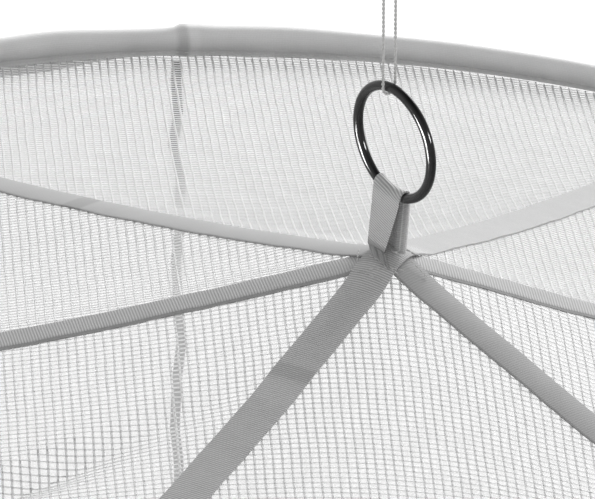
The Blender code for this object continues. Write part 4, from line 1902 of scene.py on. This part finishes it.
@dataclass(frozen=True)
class CrownStitches:
    """The rows of stitches that hold the loop's feet and the tapes together at the crown.

    Each row runs from one place to another, in millimetres.
    """

    form: CanopyForm
    pitch: float = 2.2 * MM
    above: float = 0.25 * MM
    rows: tuple[tuple[float, float, float, float], ...] = (
        (-5.2, -3.2, 2.6, -10.2),
        (-5.2, -8.9, 4.2, -8.9),
        (-11.0, -8.0, -3.0, -13.2),
        (7.5, -4.0, 12.0, -8.0),
        (3.0, 5.0, 8.0, 2.0),
        (-9.0, 2.5, -9.6, -3.6),
    )

    def places(self) -> tuple[np.ndarray, np.ndarray, np.ndarray]:
        """Give the places of the stitches, the way they lie and the way out."""
        found, along = [], []
        for x0, y0, x1, y1 in self.rows:
            length = math.hypot(x1 - x0, y1 - y0) * MM
            share = np.linspace(0, 1, max(2, round(length / self.pitch)) + 1)[:, None]
            flat = np.array((x0, y0)) * MM * (1 - share) + np.array((x1, y1)) * MM * share
            row = np.column_stack((flat, self.form.tape_top(flat[:, 0], flat[:, 1], 2) + self.above))
            found.append(row)
            along.append(unit(np.gradient(row, axis=0)))
        points = np.concatenate(found)
        return points, np.concatenate(along), np.broadcast_to(UP, points.shape).copy()


@dataclass(frozen=True)
class Lamp:
    """One soft lamp, which shines on the crown from a heading and an elevation."""

    name: str
    heading: float
    elevation: float
    distance: float
    wide: float
    high: float
    power: float
    aim_z: float = -120 * MM
    only: tuple[str, ...] = ()
    shaded: bool = True

    def build(self) -> None:
        """Make the lamp, which shines on some pieces alone where they are named."""
        level = math.cos(math.radians(self.elevation))
        way = Vector(on_heading(self.heading, level) + UP * math.sin(math.radians(self.elevation)))
        lamp = bpy.data.lights.new(self.name, "AREA")
        lamp.shape = "RECTANGLE"
        lamp.size = self.wide
        lamp.size_y = self.high
        lamp.energy = self.power
        made = add_object(self.name, lamp)
        made.location = way * self.distance + Vector((0, 0, self.aim_z))
        made.rotation_euler = way.to_track_quat("Z", "Y").to_euler()
        made.visible_camera = False
        if self.only:
            lit = bpy.data.collections.new(f"lit by {self.name}")
            for name in self.only:
                lit.objects.link(bpy.data.objects[name])
            made.light_linking.receiver_collection = lit
            if not self.shaded:
                made.light_linking.blocker_collection = lit


@dataclass(frozen=True)
class Studio:
    """The camera, the soft light and the pale floor."""

    distance: float = 2.37434
    elevation: float = 30.11475
    aside: float = 1.3 * MM
    aim_z: float = -123.66 * MM
    yaw: float = -0.82385
    pitch: float = 30.04225
    focal_pixels: float = 7597.3
    frame_pixels: float = 595
    sensor: float = 36.0
    clip_start: float = 0.05
    clip_end: float = 200.0
    floor_z: float = -2.246
    floor_radius: float = 40.0
    floor_corners: int = 96
    horizon: float = 1.25
    # Name, heading, elevation, distance, width, height and power
    lamps: tuple[Lamp, ...] = (
        Lamp("soft key", 64, 13, 6.0, 2.3, 2.3, 110),
        Lamp("back light", 64, 13, 6.0, 2.3, 2.3, 290, only=CROWN_PIECES),
        Lamp("net light", 74, 13, 6.0, 2.3, 2.3, 290, only=NET_PIECES),
        Lamp("left strip", 214, -10, 1.6, 0.8, 0.8, 330, only=("plated_ring",), shaded=False),
        Lamp("right spot", 336, 20, 1.6, 0.36, 0.36, 46, only=("plated_ring",), shaded=False),
    )

    def camera(self) -> None:
        """Make the camera at its viewing angle on the crown."""
        raised = math.radians(self.elevation)
        height = self.aim_z + self.distance * math.sin(raised)
        eye = Vector((self.aside, -self.distance * math.cos(raised), height))
        yaw, pitch = math.radians(self.yaw), math.radians(self.pitch)
        ahead = Vector((math.sin(yaw) * math.cos(pitch), math.cos(yaw) * math.cos(pitch), -math.sin(pitch)))
        right = Vector((math.cos(yaw), -math.sin(yaw), 0))
        above = right.cross(ahead)
        lens = bpy.data.cameras.new("camera")
        lens.sensor_width = self.sensor
        lens.lens = self.focal_pixels * self.sensor / self.frame_pixels
        lens.clip_start = self.clip_start
        lens.clip_end = self.clip_end
        camera = add_object("camera", lens)
        turn = Matrix((right, above, -ahead)).transposed().to_4x4()
        camera.matrix_world = Matrix.Translation(eye) @ turn
        bpy.context.scene.camera = camera

    def light(self) -> None:
        """Make the lamps and the even light from all round, which is brightest near the horizon."""
        for lamp in self.lamps:
            lamp.build()
        world = bpy.data.worlds.new("soft light")
        world.use_nodes = True
        sky = NodeBuilder(world.node_tree)
        _, _, rise = sky.parts(sky.value("ShaderNodeTexCoord", "Generated"))
        background = world.node_tree.nodes["Background"]
        background.inputs["Color"].default_value = (1, 1, 1, 1)
        sky.feed(background.inputs["Strength"], self.horizon * (1 - rise * rise))
        bpy.context.scene.world = world
        bpy.context.scene.view_settings.view_transform = "Standard"

    def floor(self, finish: bpy.types.Material) -> None:
        """Make the floor below the hem."""
        turn = np.linspace(0, 360, self.floor_corners, endpoint=False)
        rim = on_heading(turn, self.floor_radius) + UP * self.floor_z
        mesh = bpy.data.meshes.new("studio_floor")
        mesh.from_pydata(rim.tolist(), [], [tuple(range(len(turn)))])
        mesh.materials.append(finish)
        add_object("studio_floor", mesh)

    def build(self) -> None:
        """Make the whole studio, once the canopy is there to be lit."""
        self.camera()
        self.light()
        self.floor(PaleFloor().make())


def attach(piece: bpy.types.Object, slot: str, *nodes: str) -> None:
    """Let a piece ride on the body and stand for the nodes that it replaces."""
    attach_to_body(piece, BODY)
    if nodes:
        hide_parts(*nodes)
    LOG.info("%s: %d faces, for %s", piece.name, len(piece.data.polygons), ", ".join(nodes) or "detail")


@dataclass
class Canopy:
    """The whole canopy, built sub-assembly by sub-assembly."""

    form: CanopyForm = field(default_factory=CanopyForm)

    def build(self) -> None:
        ring = Ring(self.form)
        twine = Twine().make()
        cord = HangingCord(ring, twine)
        strand = cord.build()
        attach(strand, "cord", "hang_cord")
        knot = CordKnot(ring, twine).build()
        attach(knot, "cord", "cord_knot")
        path = cord.path()
        attach(ring.build(DarkMetal().make()), "ring_metal", "crown_ring")
        loop = RingLoop(ring, LOOP_TAPE.make()).build()
        attach(loop, "ribbed_tape", "ring_loop")
        stitching = Stitching(twine)
        self.roof(loop, stitching)
        self.wall(stitching)
        self.dress_hoop()

    def roof(self, loop: bpy.types.Object, stitching: Stitching) -> None:
        """Make the roof net and the tapes across it."""
        net = RoofNet(self.form, ROOF_NETTING.make())
        sheet = net.build()
        attach(sheet, "netting", "roof_net")
        threads = RoofThreads(net, ROOF_NETTING, WARP_THREAD.make(), CROSS_THREAD.make()).build()
        for thread in threads:
            attach(thread, "netting")
        for layers, (finish, name, node, first, second, width, lies) in enumerate(TAPES):
            piece = RoofTape(net, finish.make(), name, first, second, layers, width, lies).build()
            attach(piece, "ribbed_tape", node)
        crown = stitching.lay("crown_stitches", *CrownStitches(self.form).places())
        attach(crown, "ribbed_tape")
        across = 2 * net.reach + net.flat_over
        area = math.pi * (net.reach + net.area_over) ** 2

    def wall(self, stitching: Stitching) -> None:
        """Make the casing, the wall net and its seam."""
        casing_form = HoopCasing(self.form, CasingCloth().make())
        casing = casing_form.build()
        attach(casing, "casing_tape", "hoop_casing")
        row = stitching.lay("casing_stitches", *casing_form.stitches(pitch=3.2 * MM, above=1.5 * MM))
        attach(row, "casing_tape")
        wall = WallNet(self.form, WALL_NETTING.make())
        sheet = wall.build()
        attach(sheet, "netting", "wall_net")
        seam = SeamBinding(wall, SEAM_TAPE.make()).build()
        attach(seam, "ribbed_tape", "wall_seam_binding")
        hem = stitching.lay("hem_stitches", *wall.hem_stitches(pitch=4 * MM, above=4 * MM))
        attach(hem, "netting")

    def dress_hoop(self) -> None:
        """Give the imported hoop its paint."""
        hoop = bpy.data.objects["hoop"]
        paint = HoopWire().make()
        for slot in hoop.material_slots:
            slot.material = paint
        LOG.info("hoop: painted")


def main() -> None:
    """Build the studio and the canopy."""
    logging.basicConfig(level=logging.INFO, format="%(name)s: %(message)s")
    Canopy().build()
    Studio().build()


if __name__ == "__main__":
    main()
